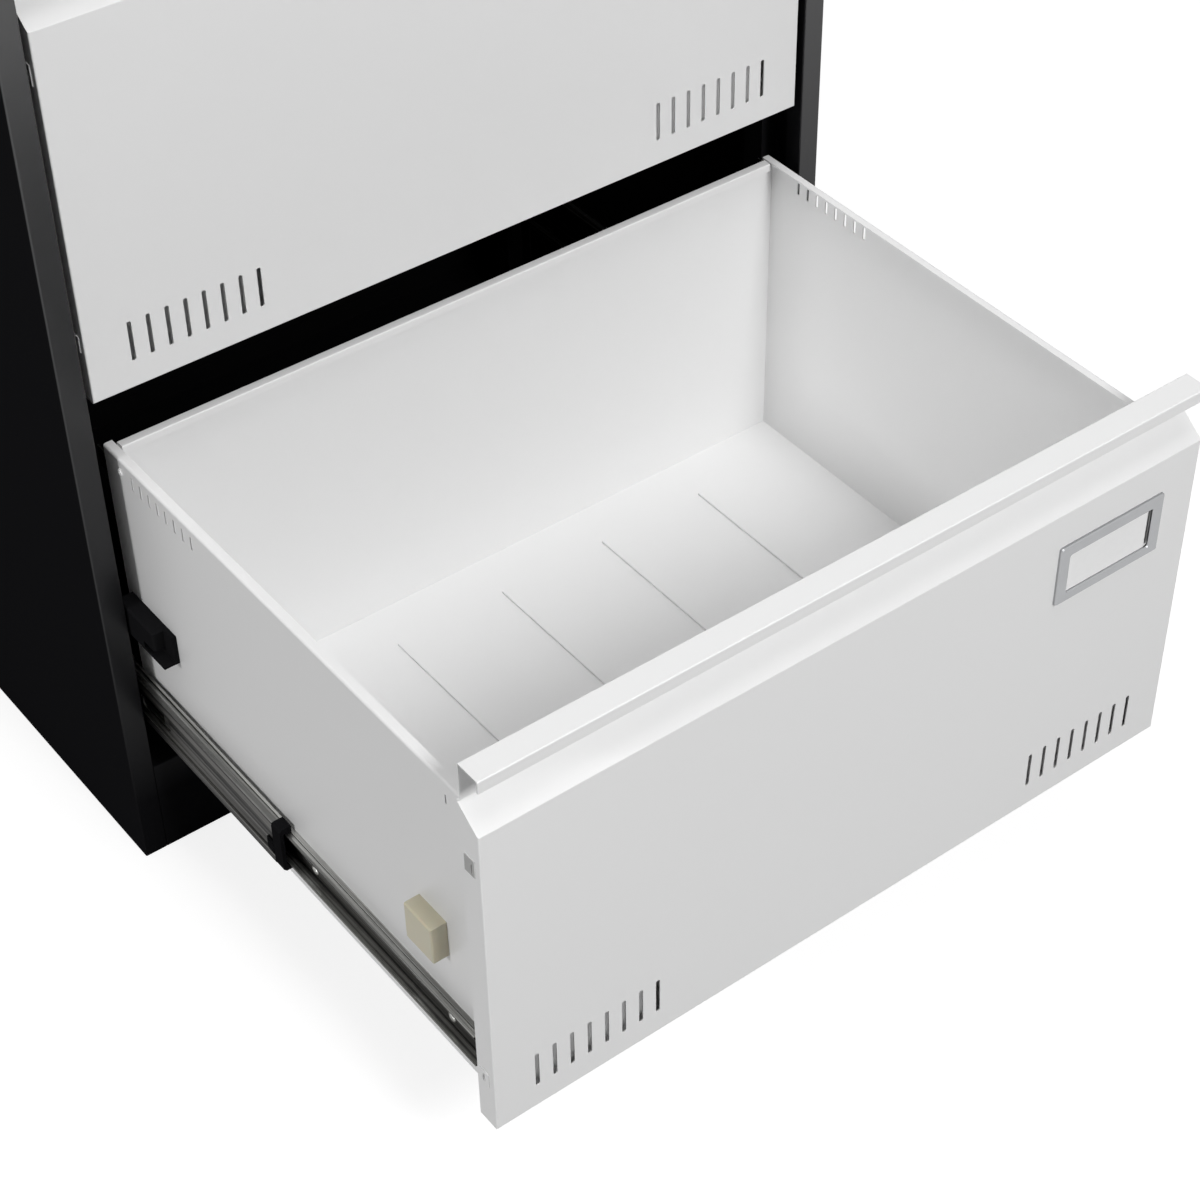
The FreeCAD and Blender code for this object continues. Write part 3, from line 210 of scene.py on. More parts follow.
class Finish:
    """The node tree of a material or a world under construction."""

    def __init__(self, owner):
        owner.use_nodes = True
        self.owner = owner
        self.tree = owner.node_tree
        self.tree.nodes.clear()

    def add(self, kind, settings=None, inputs=None, output=0):
        """Add a node, set it up, feed its sockets and give one of its outputs."""
        node = self.tree.nodes.new(kind)
        for name, value in (settings or {}).items():
            setattr(node, name, value)
        for key, value in (inputs or {}).items():
            self.feed(node.inputs[key], value)
        return Signal(self, node.outputs[output]) if node.outputs else node

    def feed(self, socket, value):
        """Link a signal to a socket, or set the socket's own value."""
        if isinstance(value, Signal):
            self.tree.links.new(value.socket, socket)
        else:
            socket.default_value = value

    def place(self):
        """Give Object coordinates, which are metres on every finished piece."""
        return self.add("ShaderNodeTexCoord", output="Object")

    def noise(self, per_metre, detail=2.0, roughness=0.5):
        """Give a noise from 0 to 1 with a number of features per metre, or one along each axis."""
        place, scale = self.place(), per_metre
        if isinstance(per_metre, tuple):
            place = self.add("ShaderNodeMapping", {}, {"Vector": place, "Scale": per_metre})
            scale = 1.0
        inputs = {"Vector": place, "Scale": scale, "Detail": detail, "Roughness": roughness}
        return self.add("ShaderNodeTexNoise", {}, inputs, "Fac")

    def part(self, vector, axis):
        """Give one axis of a vector."""
        return self.add("ShaderNodeSeparateXYZ", {}, {"Vector": vector}, axis)

    def normal(self, axis):
        """Give one axis of the face's outward direction, from -1 to 1."""
        return self.part(self.add("ShaderNodeNewGeometry", output="Normal"), axis)

    def rise(self, low, high):
        """Give 0 below one height of the piece, 1 above another and a straight ramp between."""
        return ((self.part(self.place(), "Z") - low) / (high - low)).clamped()

    def tone(self, factor, colour, darkest, lightest):
        """Mix from a darker to a lighter shade of a colour."""
        return self.blend(factor, shade(colour, darkest), shade(colour, lightest))

    def blend(self, factor, first, second):
        """Mix two colours."""
        settings = {"data_type": "RGBA", "clamp_factor": True}
        return self.add("ShaderNodeMix", settings, {0: factor, 6: first, 7: second}, 2)

    def mix(self, factor, first, second):
        """Mix two shaders."""
        return self.add("ShaderNodeMixShader", {}, {0: factor, 1: first, 2: second})

    def bump(self, height, distance):
        """Turn a height from 0 to 1 into a normal; the distance is in metres."""
        return self.add("ShaderNodeBump", {}, {"Height": height, "Distance": distance}, "Normal")

    def surface(self, **inputs):
        """Close the material with a Principled shader and give the material."""
        named = {name.replace("_", " "): value for name, value in inputs.items()}
        shader = self.add("ShaderNodeBsdfPrincipled", {}, named, "BSDF")
        self.add("ShaderNodeOutputMaterial", {}, {"Surface": shader})
        return self.owner


def new_finish(name):
    """Start a material."""
    return Finish(bpy.data.materials.new(name))


def shade(colour, factor):
    """Scale a colour's three channels and make it opaque."""
    return (*[min(1.0, channel * factor) for channel in colour[:3]], 1.0)


# Finishes


def powder_coat(name, colour, roughness, specular, texture, sheen=0.0):
    """Baked powder paint: faint orange peel, fine grain and a sheen on its front and top."""
    top_share = 0.25
    finish = new_finish(name)
    broad = finish.noise(per_metre=2.5, detail=3.0)
    peel = finish.noise(per_metre=420.0)
    grain = finish.noise(per_metre=2600.0, detail=1.0)
    front = (0.0 - finish.normal("Y")).clamped() * finish.rise(low=0.05, high=0.65)
    top = finish.normal("Z").clamped() * finish.rise(low=0.7, high=0.72)
    return finish.surface(
        Base_Color=finish.tone(broad, colour, darkest=0.985, lightest=1.015),
        Roughness=roughness + broad.swing(0.06) + peel.swing(0.05),
        Specular_IOR_Level=specular,
        Coat_Weight=(front + top * top_share) * sheen,
        Coat_Roughness=0.3,
        Coat_IOR=1.8,
        Normal=finish.bump(peel * 0.75 + grain * 0.25, texture),
    )


def plated_steel(name, colour, web_shade_colour, roughness):
    """Zinc-plated steel rolled along Y with drawn streaks, its colour holding painted light:
    flat-lying flanges painted bright as if lit, upright webs painted dark as shade, and bright streak
    lines on the webs as painted highlights.
    """
    finish = new_finish(name)
    drawn = finish.noise(per_metre=(2400.0, 18.0, 2400.0), detail=3.0, roughness=0.6)
    streak_and_highlight = finish.noise(per_metre=(330.0, 2.0, 330.0), detail=3.0, roughness=0.6)
    cloud = finish.noise(per_metre=55.0, detail=3.0)
    line = streak_and_highlight.sharpened(contrast=6.0, cut=2.6)
    # Painted shade on the upright webs; the brightest streak lines on them are painted highlights.
    web = finish.tone(line, web_shade_colour, darkest=0.25, lightest=6.0)
    lit_flange = finish.tone(line + cloud * 0.2, colour, darkest=0.3, lightest=1.15)
    # Faces that lie flat take the brighter painted-light flange colour, upright faces the painted
    # shade of the webs.
    lit_share = abs(finish.normal("Z")) ** 1.5
    return finish.surface(
        Base_Color=finish.blend(lit_share, web, lit_flange),
        Metallic=1.0,
        Roughness=roughness + drawn.swing(0.18) + cloud.swing(0.1),
        Specular_Tint=(0.6, 0.6, 0.6, 1.0),
        Normal=finish.bump(drawn, 0.04 * MILLIMETRE),
    )


def satin_metal(name, colour, roughness):
    """Satin metal with a fine brushed grain along X."""
    finish = new_finish(name)
    grain = finish.noise(per_metre=(40.0, 3000.0, 3000.0), roughness=0.6)
    cloud = finish.noise(per_metre=70.0)
    return finish.surface(
        Base_Color=finish.tone(cloud, colour, darkest=0.93, lightest=1.05),
        Metallic=1.0,
        Roughness=roughness + grain.swing(0.16),
        Normal=finish.bump(grain, 0.03 * MILLIMETRE),
    )


def polished_metal(name, colour, roughness):
    """Bright metal with light handling marks."""
    finish = new_finish(name)
    marks = finish.noise(per_metre=900.0, detail=4.0, roughness=0.7)
    film = finish.noise(per_metre=120.0)
    return finish.surface(
        Base_Color=finish.tone(film, colour, darkest=0.94, lightest=1.03),
        Metallic=1.0,
        Roughness=roughness + marks * 0.08,
        Normal=finish.bump(marks, 0.01 * MILLIMETRE),
    )


def moulded_plastic(name, colour, roughness, specular=0.5, subsurface=0.0):
    """Moulded plastic with a spark-eroded grain and faint flow marks."""
    finish = new_finish(name)
    grain = finish.noise(per_metre=1800.0)
    flow = finish.noise(per_metre=45.0, detail=3.0)
    return finish.surface(
        Base_Color=finish.tone(flow, colour, darkest=0.93, lightest=1.06),
        Roughness=roughness + flow.swing(0.12),
        Specular_IOR_Level=specular,
        Subsurface_Weight=subsurface,
        Subsurface_Scale=3 * MILLIMETRE,
        Normal=finish.bump(grain, 0.03 * MILLIMETRE),
    )


def card_stock(name, colour, roughness):
    """Blank card with a paper tooth."""
    finish = new_finish(name)
    tooth = finish.noise(per_metre=1500.0, detail=4.0, roughness=0.7)
    fibre = finish.noise(per_metre=260.0, detail=3.0)
    return finish.surface(
        Base_Color=finish.tone(fibre, colour, darkest=0.97, lightest=1.02),
        Roughness=roughness,
        Normal=finish.bump(tooth, 0.04 * MILLIMETRE),
    )


# Settings that a user can change


def colour_setting(name, surface, default):
    """Make a colour property."""
    return bpy.props.FloatVectorProperty(
        name=name,
        description=f"Colour of the {surface}",
        subtype="COLOR",
        size=3,
        min=0.0,
        max=1.0,
        default=default,
    )


def length_setting(name, description, default):
    """Make a length property."""
    return bpy.props.FloatProperty(
        name=name, description=description, unit="LENGTH", default=default
    )


def power_setting(name, lamp, default):
    """Make a property for a lamp's power."""
    return bpy.props.FloatProperty(
        name=name, description=f"Power of the {lamp}", unit="POWER", min=0.0, default=default
    )


def angle_setting(name, description, degrees):
    """Make an angle property."""
    return bpy.props.FloatProperty(
        name=name, description=description, subtype="ANGLE", default=math.radians(degrees)
    )


class CabinetFinishes(bpy.types.PropertyGroup):
    """Colours and gloss of the cabinet's finishes."""

    drawer_paint: colour_setting(
        "Drawer paint", "light powder coat on the drawers", (0.80, 0.80, 0.80)
    )
    carcass_paint: colour_setting(
        "Carcass paint", "black powder coat on the carcass", (0.0095, 0.0095, 0.0105)
    )
    zinc: colour_setting("Zinc", "plated slides and brackets", (0.58, 0.58, 0.56))
    # Painted shade: this dark colour of the slides' upright webs stands in for shade and dark
    # reflections on them.
    zinc_web: colour_setting(
        "Zinc web", "darker upright faces of the slides", (0.02, 0.0195, 0.0185)
    )
    ball_steel: colour_setting("Ball steel", "balls in the slides", (0.7, 0.7, 0.71))
    lock_metal: colour_setting("Lock metal", "lock's housing and plug", (0.5, 0.5, 0.51))
    holder_metal: colour_setting("Holder metal", "card holders", (0.37, 0.375, 0.385))
    nylon: colour_setting("Nylon", "catch blocks", (0.58, 0.54, 0.405))
    black_plastic: colour_setting(
        "Black plastic", "guide blocks and end stops", (0.011, 0.011, 0.012)
    )
    clip_plastic: colour_setting("Clip plastic", "clips' heads", (0.36, 0.36, 0.355))
    card: colour_setting("Card", "blank cards", (0.9, 0.9, 0.9))
    paint_gloss: bpy.props.FloatProperty(
        name="Paint roughness",
        description="Roughness of the powder coats",
        subtype="FACTOR",
        min=0.0,
        max=1.0,
        default=0.42,
    )


class SlideSizes(bpy.types.PropertyGroup):
    """Sizes of what runs in the telescopic slides."""

    outer_ball: length_setting(
        "Outer ball radius",
        "Radius of the balls between the cabinet member and the middle member",
        2.05 * MILLIMETRE,
    )
    inner_ball: length_setting(
        "Inner ball radius",
        "Radius of the balls between the middle member and the drawer member",
        1.7 * MILLIMETRE,
    )
    ball_pitch: length_setting(
        "Ball pitch", "Distance from one ball to the next", 9.0 * MILLIMETRE
    )
    balls_per_race: bpy.props.IntProperty(
        name="Balls in a race",
        description="Number of balls in one row of a cage",
        min=1,
        default=12,
    )


class StudioSettings(bpy.types.PropertyGroup):
    """Light, floor and camera."""

    ambient: bpy.props.FloatProperty(
        name="Ambient light",
        description="Strength of the light that comes from all round",
        min=0.0,
        default=0.14,
    )
    overhead_power: power_setting("Overhead light", "large soft lamp above the cabinet", 47.0)
    front_power: power_setting("Front light", "soft lamp in front of the cabinet", 107.0)
    side_power: power_setting("Side light", "small lamp at the left of the cabinet", 58.0)
    floor_width: length_setting("Floor width", "Side of the square floor", 16.0)
    camera_place: bpy.props.FloatVectorProperty(
        name="Camera place",
        description="Where the photograph was taken from",
        subtype="TRANSLATION",
        size=3,
        default=(-0.8061, -1.4531, 1.3890),
    )
    camera_heading: angle_setting("Camera heading", "Turn of the camera about the vertical", -39.117)
    camera_tilt: angle_setting("Camera tilt", "Angle of the camera's axis from straight down", 47.554)
    camera_roll: angle_setting("Camera roll", "Turn of the camera about its own axis", 0.744)
    lens: bpy.props.FloatProperty(
        name="Lens",
        description="Focal length in millimetres on a 36 mm sensor",
        default=80.32,
    )
    shift: bpy.props.FloatVectorProperty(
        name="Camera shift",
        description="Shift of the frame, as a share of its width",
        size=2,
        default=(-0.0792, 0.0216),
    )


# Meshes and geometry trees


def new_piece(name, mesh, material, body):
    """Link a mesh as a finished piece that rides on a body."""
    piece = bpy.data.objects.new(name, mesh)
    bpy.context.scene.collection.objects.link(piece)
    if not mesh.materials:
        mesh.materials.append(material)
    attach(piece, body)
    return piece


def apply_nodes(name, points, tree, values, directions=None):
    """Run a geometry tree on a set of points and give the result as a plain mesh."""
    source = bpy.data.meshes.new(f"{name}_points")
    source.from_pydata(points, [], [])
    if directions:
        attribute = source.attributes.new("direction", "FLOAT_VECTOR", "POINT")
        attribute.data.foreach_set("vector", [value for vector in directions for value in vector])
    carrier = bpy.data.objects.new(f"{name}_carrier", source)
    bpy.context.scene.collection.objects.link(carrier)
    modifier = carrier.modifiers.new("Repeat", "NODES")
    modifier.node_group = tree
    for item in tree.interface.items_tree:
        if item.item_type == "SOCKET" and item.in_out == "INPUT" and item.name in values:
            modifier[item.identifier] = values[item.name]
    evaluated = carrier.evaluated_get(bpy.context.evaluated_depsgraph_get())
    mesh = bpy.data.meshes.new_from_object(evaluated)
    mesh.name = name
    carrier.modifiers.remove(modifier)
    bpy.data.objects.remove(carrier)
    return mesh


def start_tree(name, sockets):
    """Make a geometry tree with named inputs after its geometry."""
    tree = bpy.data.node_groups.new(name, "GeometryNodeTree")
    tree.interface.new_socket("Geometry", in_out="INPUT", socket_type="NodeSocketGeometry")
    tree.interface.new_socket("Geometry", in_out="OUTPUT", socket_type="NodeSocketGeometry")
    for label, kind in sockets:
        tree.interface.new_socket(label, in_out="INPUT", socket_type=kind)
    return tree


def finish_tree(tree, last, given, result):
    """End a tree in real geometry with its material and smooth faces."""
    nodes, link = tree.nodes, tree.links.new
    real = nodes.new("GeometryNodeRealizeInstances")
    link(last.outputs[0], real.inputs[0])
    smooth = nodes.new("GeometryNodeSetShadeSmooth")
    link(real.outputs[0], smooth.inputs[0])
    paint = nodes.new("GeometryNodeSetMaterial")
    link(smooth.outputs[0], paint.inputs["Geometry"])
    link(given.outputs["Material"], paint.inputs["Material"])
    link(paint.outputs[0], result.inputs[0])


def ball_row_tree():
    """Make a tree that lays a row of balls along Y from each point."""
    tree = start_tree(
        "Ball rows",
        [
            ("Radius", "NodeSocketFloat"),
            ("Pitch", "NodeSocketFloat"),
            ("Count", "NodeSocketInt"),
            ("Material", "NodeSocketMaterial"),
        ],
    )
    nodes, link = tree.nodes, tree.links.new
    given = nodes.new("NodeGroupInput")
    result = nodes.new("NodeGroupOutput")
    step = nodes.new("ShaderNodeCombineXYZ")
    link(given.outputs["Pitch"], step.inputs["Y"])
    line = nodes.new("GeometryNodeMeshLine")
    link(given.outputs["Count"], line.inputs["Count"])
    link(step.outputs[0], line.inputs["Offset"])
    ball = nodes.new("GeometryNodeMeshIcoSphere")
    ball.inputs["Subdivisions"].default_value = BALL_SUBDIVISIONS
    link(given.outputs["Radius"], ball.inputs["Radius"])
    row = nodes.new("GeometryNodeInstanceOnPoints")
    link(line.outputs[0], row.inputs["Points"])
    link(ball.outputs[0], row.inputs["Instance"])
    rows = nodes.new("GeometryNodeInstanceOnPoints")
    link(given.outputs["Geometry"], rows.inputs["Points"])
    link(row.outputs[0], rows.inputs["Instance"])
    finish_tree(tree, rows, given, result)
    return tree


def head_tree():
    """Make a tree that stands a head on each point along the point's own direction."""
    tree = start_tree("Heads", [("Head", "NodeSocketObject"), ("Material", "NodeSocketMaterial")])
    nodes, link = tree.nodes, tree.links.new
    given = nodes.new("NodeGroupInput")
    result = nodes.new("NodeGroupOutput")
    shape = nodes.new("GeometryNodeObjectInfo")
    link(given.outputs["Head"], shape.inputs["Object"])
    direction = nodes.new("GeometryNodeInputNamedAttribute")
    direction.data_type = "FLOAT_VECTOR"
    direction.inputs["Name"].default_value = "direction"
    turned = nodes.new("FunctionNodeAlignRotationToVector")
    turned.axis = "Z"
    link(direction.outputs["Attribute"], turned.inputs["Vector"])
    heads = nodes.new("GeometryNodeInstanceOnPoints")
    link(given.outputs["Geometry"], heads.inputs["Points"])
    link(shape.outputs["Geometry"], heads.inputs["Instance"])
    link(turned.outputs["Rotation"], heads.inputs["Rotation"])
    finish_tree(tree, heads, given, result)
    return tree


def race_starts(drawer, kind):
    """Give the first ball centre of each race of a drawer's slides."""
    race = RACES[kind]
    starts = []
    for side, sense in SIDES.items():
        low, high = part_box(f"{drawer}_outer_slide_{side}")
        face = low.x if sense < 0 else high.x
        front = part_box(f"{drawer}_middle_slide_{side}")[0].y
        level = (low.z + high.z) / 2
        for up in (-1, 1):
            starts.append((face - sense * race.depth, front + race.start, level + up * race.height))
    return starts


def islands(mesh):
    """Give the lowest and highest corner of each separate solid of a mesh."""
    work = bmesh.new()
    work.from_mesh(mesh)
    bmesh.ops.remove_doubles(work, verts=work.verts, dist=0.01 * MILLIMETRE)
    left = set(work.verts)
    boxes = []
    while left:
        group = {left.pop()}
        border = list(group)
        while border:
            near = {edge.other_vert(vert) for vert in border for edge in vert.link_edges}
            border = list((near & left) - group)
            group.update(border)
            left.difference_update(border)
        places = [vert.co.copy() for vert in group]
        low = Vector(min(place[axis] for place in places) for axis in range(3))
        high = Vector(max(place[axis] for place in places) for axis in range(3))
        boxes.append((low, high))
    work.free()
    return boxes


def studs_by_size(node):
    """Sort a node's studs by radius and height, each with its foot and its direction."""
    piece = frame["nodes"][node]
    sizes = {}
    for low, high in islands(piece.data):
        low, high = piece.matrix_world @ low, piece.matrix_world @ high
        spans = high - low
        axis = min(range(3), key=lambda index: spans[index])
        middle = (low + high) / 2
        outward = Vector((0.0, 0.0, 0.0))
        outward[axis] = stud_sense(node, axis, middle)
        foot = middle - outward * spans[axis] / 2
        size = (round(max(spans) / 2, SIZE_DECIMALS), round(spans[axis], SIZE_DECIMALS))
        sizes.setdefault(size, []).append((foot, outward))
    return sizes


def stud_sense(node, axis, middle):
    """Tell which way along its axis a stud's head stands.

    Studs along Y stand backwards, and those of the carcass stand outwards. So do the rivets at the
    top of a drawer's walls, while the screws of its slides stand inwards.
    """
    if axis == 1:
        return 1.0
    side = math.copysign(1.0, middle.x)
    on_wall = abs(middle.x) < abs(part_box("lower_side_left")[0].x) + WALL_PLAY
    at_top = middle.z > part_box(node)[1].z - RIVET_BAND
    outwards = node == "carcass_fasteners" or (on_wall and at_top)
    return side if outwards else -side


def head_level(radius, height, driven, distance, angle):
    """Give the height of a screw's pan head or of a blind rivet's head at a polar place.

    A driven head has a cross recess, and the other one a hole where its mandrel broke off.
    """
    share = distance / radius
    turn = max(0.0, share - RIM_START) / (1.0 - RIM_START)
    level = (1.0 - CROWN_DROP * share * share) * math.sqrt(max(0.0, 1.0 - turn * turn))
    along = abs(share * math.cos(angle))
    across = abs(share * math.sin(angle))
    if driven and max(along, across) < RECESS_ARM and min(along, across) < RECESS_HALF_WIDTH:
        level -= RECESS_DEPTH - RECESS_RISE * share
    if not driven and share < MANDREL_RADIUS:
        level -= MANDREL_DEPTH
    return height * max(0.0, level)


def head_mesh(radius, height):
    """Make a head on a polar grid that stands on its base along Z."""
    driven = height > TALLEST_RIVET
    points = [(0.0, 0.0, head_level(radius, height, driven, 0.0, 0.0))]
    for ring in range(1, HEAD_RINGS + 1):
        distance = radius * ring / HEAD_RINGS
        for spoke in range(HEAD_SPOKES):
            angle = math.tau * spoke / HEAD_SPOKES
            level = head_level(radius, height, driven, distance, angle)
            points.append((distance * math.cos(angle), distance * math.sin(angle), level))
    faces = [(0, 1 + spoke, 1 + (spoke + 1) % HEAD_SPOKES) for spoke in range(HEAD_SPOKES)]
    for ring in range(HEAD_RINGS - 1):
        inner = 1 + ring * HEAD_SPOKES
        outer = inner + HEAD_SPOKES
        for spoke in range(HEAD_SPOKES):
            after = (spoke + 1) % HEAD_SPOKES
            faces.append((inner + spoke, outer + spoke, outer + after, inner + after))
    mesh = bpy.data.meshes.new("head")
    mesh.from_pydata(points, [], faces)
    return mesh


def add_heads(name, node, size, studs, tree, material, body):
    """Stand heads of one size in place of a node's studs."""
    head = bpy.data.objects.new("head", head_mesh(*size))
    bpy.context.scene.collection.objects.link(head)
    feet = [tuple(foot) for foot, _ in studs]
    directions = [tuple(outward) for _, outward in studs]
    mesh = apply_nodes(name, feet, tree, {"Head": head, "Material": material}, directions)
    bpy.data.objects.remove(head)
    piece = new_piece(name, mesh, material, body)
    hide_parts(node)


def add_slab(points, faces, first, second):
    """Add a box between two opposite corners with its faces turned outwards."""
    left, front, bottom = [min(pair) for pair in zip(first, second)]
    right, back, top = [max(pair) for pair in zip(first, second)]
    start = len(points)
    for z in (bottom, top):
        points += [(left, front, z), (right, front, z), (right, back, z), (left, back, z)]
    faces += [[start + corner for corner in corners] for corners in BOX_FACES]


def clip_mesh(name, low, high):
    """Make the thin covers round the slits of the upper clips on both side returns of a front."""
    depths = [low.y + depth for depth in CLIP_DEPTHS]
    heights = [low.z + height for height in CLIP_HEIGHTS]
    slabs = [(column, row) for column in range(3) for row in range(3) if (column, row) != CLIP_SLIT]
    points, faces = [], []
    for wall, sense in ((low.x, -1), (high.x, 1)):
        for column, row in slabs:
            first = (wall, depths[column], heights[row])
            second = (wall + sense * CLIP_PROUD, depths[column + 1], heights[row + 1])
            add_slab(points, faces, first, second)
    mesh = bpy.data.meshes.new(name)
    mesh.from_pydata(points, [], faces)
    return mesh


# Stage


def seen_directly(finish):
    """Give 1 for rays that show the background: camera, mirror and glass rays."""
    camera = finish.add("ShaderNodeLightPath", output="Is Camera Ray")
    glossy = finish.add("ShaderNodeLightPath", output="Is Glossy Ray")
    glass = finish.add("ShaderNodeLightPath", output="Is Transmission Ray")
    return (camera + glossy + glass).clamped()


def make_floor(studio):
    """Lay a pale floor that stays white, also far away, and keeps the shadow."""
    half = studio.floor_width / 2
    mesh = bpy.data.meshes.new("floor")
    corners = [(x * half, y * half, -FLOOR_DROP) for x, y in ((-1, -1), (1, -1), (1, 1), (-1, 1))]
    mesh.from_pydata(corners, [], [(0, 1, 2, 3)])
    floor = bpy.data.objects.new("floor", mesh)
    bpy.context.scene.collection.objects.link(floor)
    finish = new_finish("pale_floor")
    away = finish.add("ShaderNodeVectorMath", {"operation": "LENGTH"}, {0: finish.place()}, "Value")
    near = finish.add("ShaderNodeEmission", {}, {"Color": WHITE, "Strength": FLOOR_GLOW})
    far = finish.add("ShaderNodeEmission", {}, {"Color": WHITE, "Strength": 1.0})
    glow = finish.mix(((away - GLOW_RISE_START) / GLOW_RISE_LENGTH).clamped(), near, far)
    shadowed = finish.add("ShaderNodeBsdfDiffuse", {}, {"Color": SHOWN_GREY})
    shown = finish.add("ShaderNodeAddShader", {}, {0: glow, 1: shadowed})
    lit = finish.add("ShaderNodeBsdfDiffuse", {}, {"Color": LIT_GREY})
    surface = finish.mix(seen_directly(finish), lit, shown)
    finish.add("ShaderNodeOutputMaterial", {}, {"Surface": surface})
    mesh.materials.append(finish.owner)


def make_world(studio):
    """Light the scene evenly and show white behind it."""
    world = bpy.data.worlds.new("studio")
    bpy.context.scene.world = world
    finish = Finish(world)
    light = finish.add("ShaderNodeBackground", {}, {"Color": WHITE, "Strength": studio.ambient})
    shown = finish.add("ShaderNodeBackground", {}, {"Color": WHITE, "Strength": 1.0})
    surface = finish.mix(seen_directly(finish), light, shown)
    finish.add("ShaderNodeOutputWorld", {}, {"Surface": surface})


def make_lights(studio):
    """Hang a large soft lamp overhead, one in front and a small one at the left."""
    for lamp in LAMPS:
        data = bpy.data.lights.new(lamp.name, "AREA")
        data.shape = "DISK"
        data.size = lamp.width
        data.energy = getattr(studio, f"{lamp.name}_power")
        light = bpy.data.objects.new(lamp.name, data)
        bpy.context.scene.collection.objects.link(light)
        direction = Vector(lamp.direction).normalized()
        light.location = Vector(lamp.target) + direction * LAMP_DISTANCE
        light.rotation_mode = "QUATERNION"
        light.rotation_quaternion = direction.to_track_quat("Z", "Y")


def make_camera(studio):
    """Put the camera where the photograph was taken from."""
    data = bpy.data.cameras.new("camera")
    data.lens = studio.lens
    data.shift_x, data.shift_y = studio.shift
    data.clip_start = 0.05
    data.clip_end = 60.0
    camera = bpy.data.objects.new("camera", data)
    bpy.context.scene.collection.objects.link(camera)
    camera.matrix_world = (
        Matrix.Translation(studio.camera_place)
        @ Matrix.Rotation(studio.camera_heading, 4, "Z")
        @ Matrix.Rotation(studio.camera_tilt, 4, "X")
        @ Matrix.Rotation(studio.camera_roll, 4, "Z")
    )
    bpy.context.scene.camera = camera


# Operators


class CABINET_OT_paint_frame(bpy.types.Operator):
    """Give every CAD node the finish of its material slot"""

    bl_idname = "cabinet.paint_frame"
    bl_label = "Paint the sheet metal and hardware"

    def execute(self, context):
        finishes = context.scene.cabinet_finishes
        gloss, zinc, web = finishes.paint_gloss, finishes.zinc, finishes.zinc_web
        by_slot = {
            "white_paint": powder_coat(
                "drawer_paint", finishes.drawer_paint, gloss, specular=0.5, texture=0.03 * MILLIMETRE
            ),
            "black_paint": powder_coat(
                "carcass_paint",
                finishes.carcass_paint,
                gloss,
                specular=0.0,
                texture=0.04 * MILLIMETRE,
                sheen=1.0,
            ),
            # Both slide finishes paint light into their colour: bright flat flanges as if lit, dark
            # webs as painted shade, bright streaks as painted highlights. The cages take half the
            # zinc colour.
            "zinc_steel": plated_steel("zinc", zinc, web, roughness=0.3),
            "cage_steel": plated_steel("greased_cage", shade(zinc, 0.5), web, roughness=0.35),
            "zinc_fastener": polished_metal("fastener_zinc", shade(zinc, 0.5), roughness=0.25),
            "black_plastic": moulded_plastic(
                "black_plastic", finishes.black_plastic, roughness=0.42, specular=0.0
            ),
            "ivory_nylon": moulded_plastic(
                "ivory_nylon", finishes.nylon, roughness=0.45, subsurface=0.15
            ),
            "satin_metal": satin_metal("satin_holder", finishes.holder_metal, roughness=0.34),
            "lock_chrome": polished_metal("lock_chrome", finishes.lock_metal, roughness=0.14),
            "card_board": card_stock("blank_card", finishes.card, roughness=0.82),
        }
        slots = {item["node"]: item["material_slot"] for item in frame["record"]["subparts"]}
        for name, node in frame["nodes"].items():
            node.data.materials.clear()
            node.data.materials.append(by_slot[slots[name]])
        return {"FINISHED"}


class CABINET_OT_slide_balls(bpy.types.Operator):
    """Fill the cages of the slides with their balls"""

    bl_idname = "cabinet.slide_balls"
    bl_label = "Slide balls"

    def execute(self, context):
        finishes, sizes = context.scene.cabinet_finishes, context.scene.cabinet_slides
        steel = polished_metal("ball_steel", finishes.ball_steel, roughness=0.12)
        tree = ball_row_tree()
        for drawer in DRAWERS:
            for kind in RACES:
                values = {
                    "Radius": getattr(sizes, f"{kind}_ball"),
                    "Pitch": sizes.ball_pitch,
                    "Count": sizes.balls_per_race,
                    "Material": steel,
                }
                name = f"{drawer}_{kind}_balls"
                mesh = apply_nodes(name, race_starts(drawer, kind), tree, values)
                new_piece(name, mesh, steel, f"{drawer}_slides")
        return {"FINISHED"}


class CABINET_OT_fastener_heads(bpy.types.Operator):
    """Give the screws and rivets their domed heads"""

    bl_idname = "cabinet.fastener_heads"
    bl_label = "Screws and rivets"

    def execute(self, context):
        finishes = context.scene.cabinet_finishes
        plating = polished_metal("head_zinc", shade(finishes.zinc, 0.8), roughness=0.25)
        tree = head_tree()
        for owner, body, paint in (
            ("lower", "lower_drawer", "drawer_paint"),
            ("upper", "upper_drawer", "drawer_paint"),
            ("carcass", "carcass", "carcass_paint"),
        ):
            node = f"{owner}_fasteners"
            for size, studs in sorted(studs_by_size(node).items()):
                screw = size[1] > TALLEST_RIVET
                material = plating if screw else bpy.data.materials[paint]
                name = f"{owner}_{'screw' if screw else 'rivet'}_heads"
                add_heads(name, node, size, studs, tree, material, body)
        return {"FINISHED"}


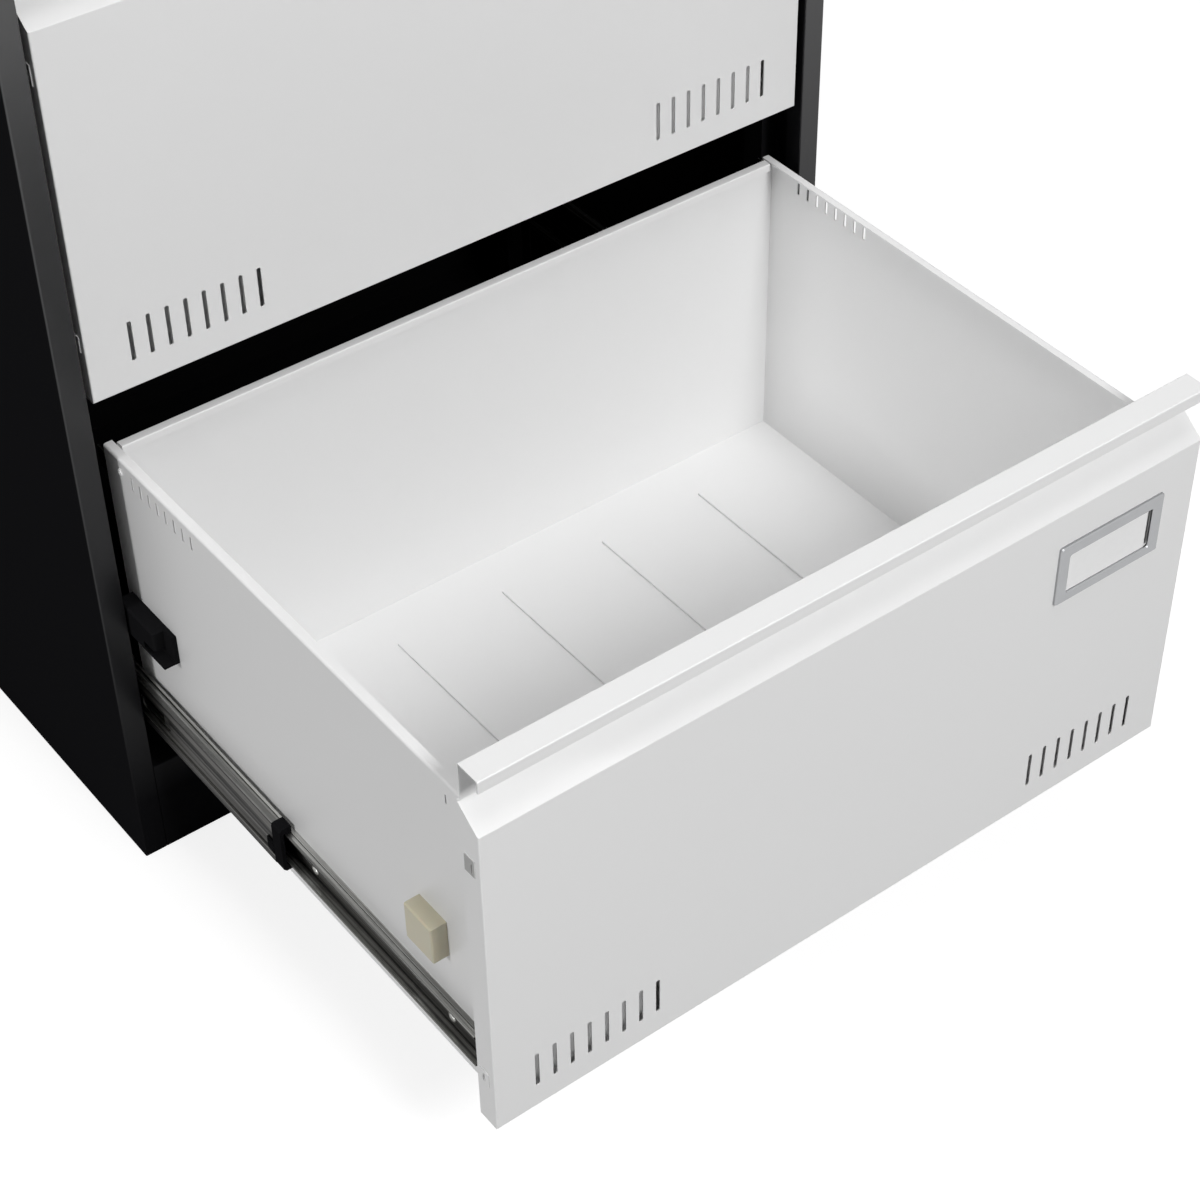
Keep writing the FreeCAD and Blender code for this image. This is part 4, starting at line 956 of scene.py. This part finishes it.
class CABINET_OT_clip_heads(bpy.types.Operator):
    """Cover the heads of the clips in the side returns of the fronts"""

    bl_idname = "cabinet.clip_heads"
    bl_label = "Clip heads"

    def execute(self, context):
        finishes = context.scene.cabinet_finishes
        plastic = moulded_plastic("clip_plastic", finishes.clip_plastic, roughness=0.5)
        for drawer in DRAWERS:
            name = f"{drawer}_clip_heads"
            mesh = clip_mesh(name, *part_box(f"{drawer}_front"))
            new_piece(name, mesh, plastic, f"{drawer}_drawer")
        return {"FINISHED"}


class CABINET_OT_studio(bpy.types.Operator):
    """Set up the floor, the soft light, the background and the camera"""

    bl_idname = "cabinet.studio"
    bl_label = "Studio"

    def execute(self, context):
        studio = context.scene.cabinet_studio
        make_floor(studio)
        make_world(studio)
        make_lights(studio)
        make_camera(studio)
        context.scene.view_settings.view_transform = "Standard"
        return {"FINISHED"}


class CABINET_PT_panel(bpy.types.Panel):
    """The cabinet's pieces and settings"""

    bl_label = "Filing cabinet"
    bl_idname = "CABINET_PT_panel"
    bl_space_type = "VIEW_3D"
    bl_region_type = "UI"
    bl_category = "Cabinet"

    def draw(self, context):
        for operator in OPERATORS:
            self.layout.operator(operator.bl_idname)
        for place in SETTINGS:
            group = getattr(context.scene, place)
            box = self.layout.box()
            for name in group.__annotations__:
                box.prop(group, name)


SETTINGS = {
    "cabinet_finishes": CabinetFinishes,
    "cabinet_slides": SlideSizes,
    "cabinet_studio": StudioSettings,
}
OPERATORS = (
    CABINET_OT_paint_frame,
    CABINET_OT_slide_balls,
    CABINET_OT_fastener_heads,
    CABINET_OT_clip_heads,
    CABINET_OT_studio,
)
CLASSES = (*SETTINGS.values(), *OPERATORS, CABINET_PT_panel)


def register():
    """Register the classes and hang the settings on the scene."""
    for item in CLASSES:
        bpy.utils.register_class(item)
    for place, group in SETTINGS.items():
        setattr(bpy.types.Scene, place, bpy.props.PointerProperty(type=group))


def unregister():
    """Take the settings and the classes away."""
    for place in SETTINGS:
        delattr(bpy.types.Scene, place)
    for item in reversed(CLASSES):
        bpy.utils.unregister_class(item)


def main():
    """Build the pieces in order."""
    register()
    bpy.ops.cabinet.paint_frame()
    bpy.ops.cabinet.slide_balls()
    bpy.ops.cabinet.fastener_heads()
    bpy.ops.cabinet.clip_heads()
    bpy.ops.cabinet.studio()


if __name__ == "__main__":
    main()
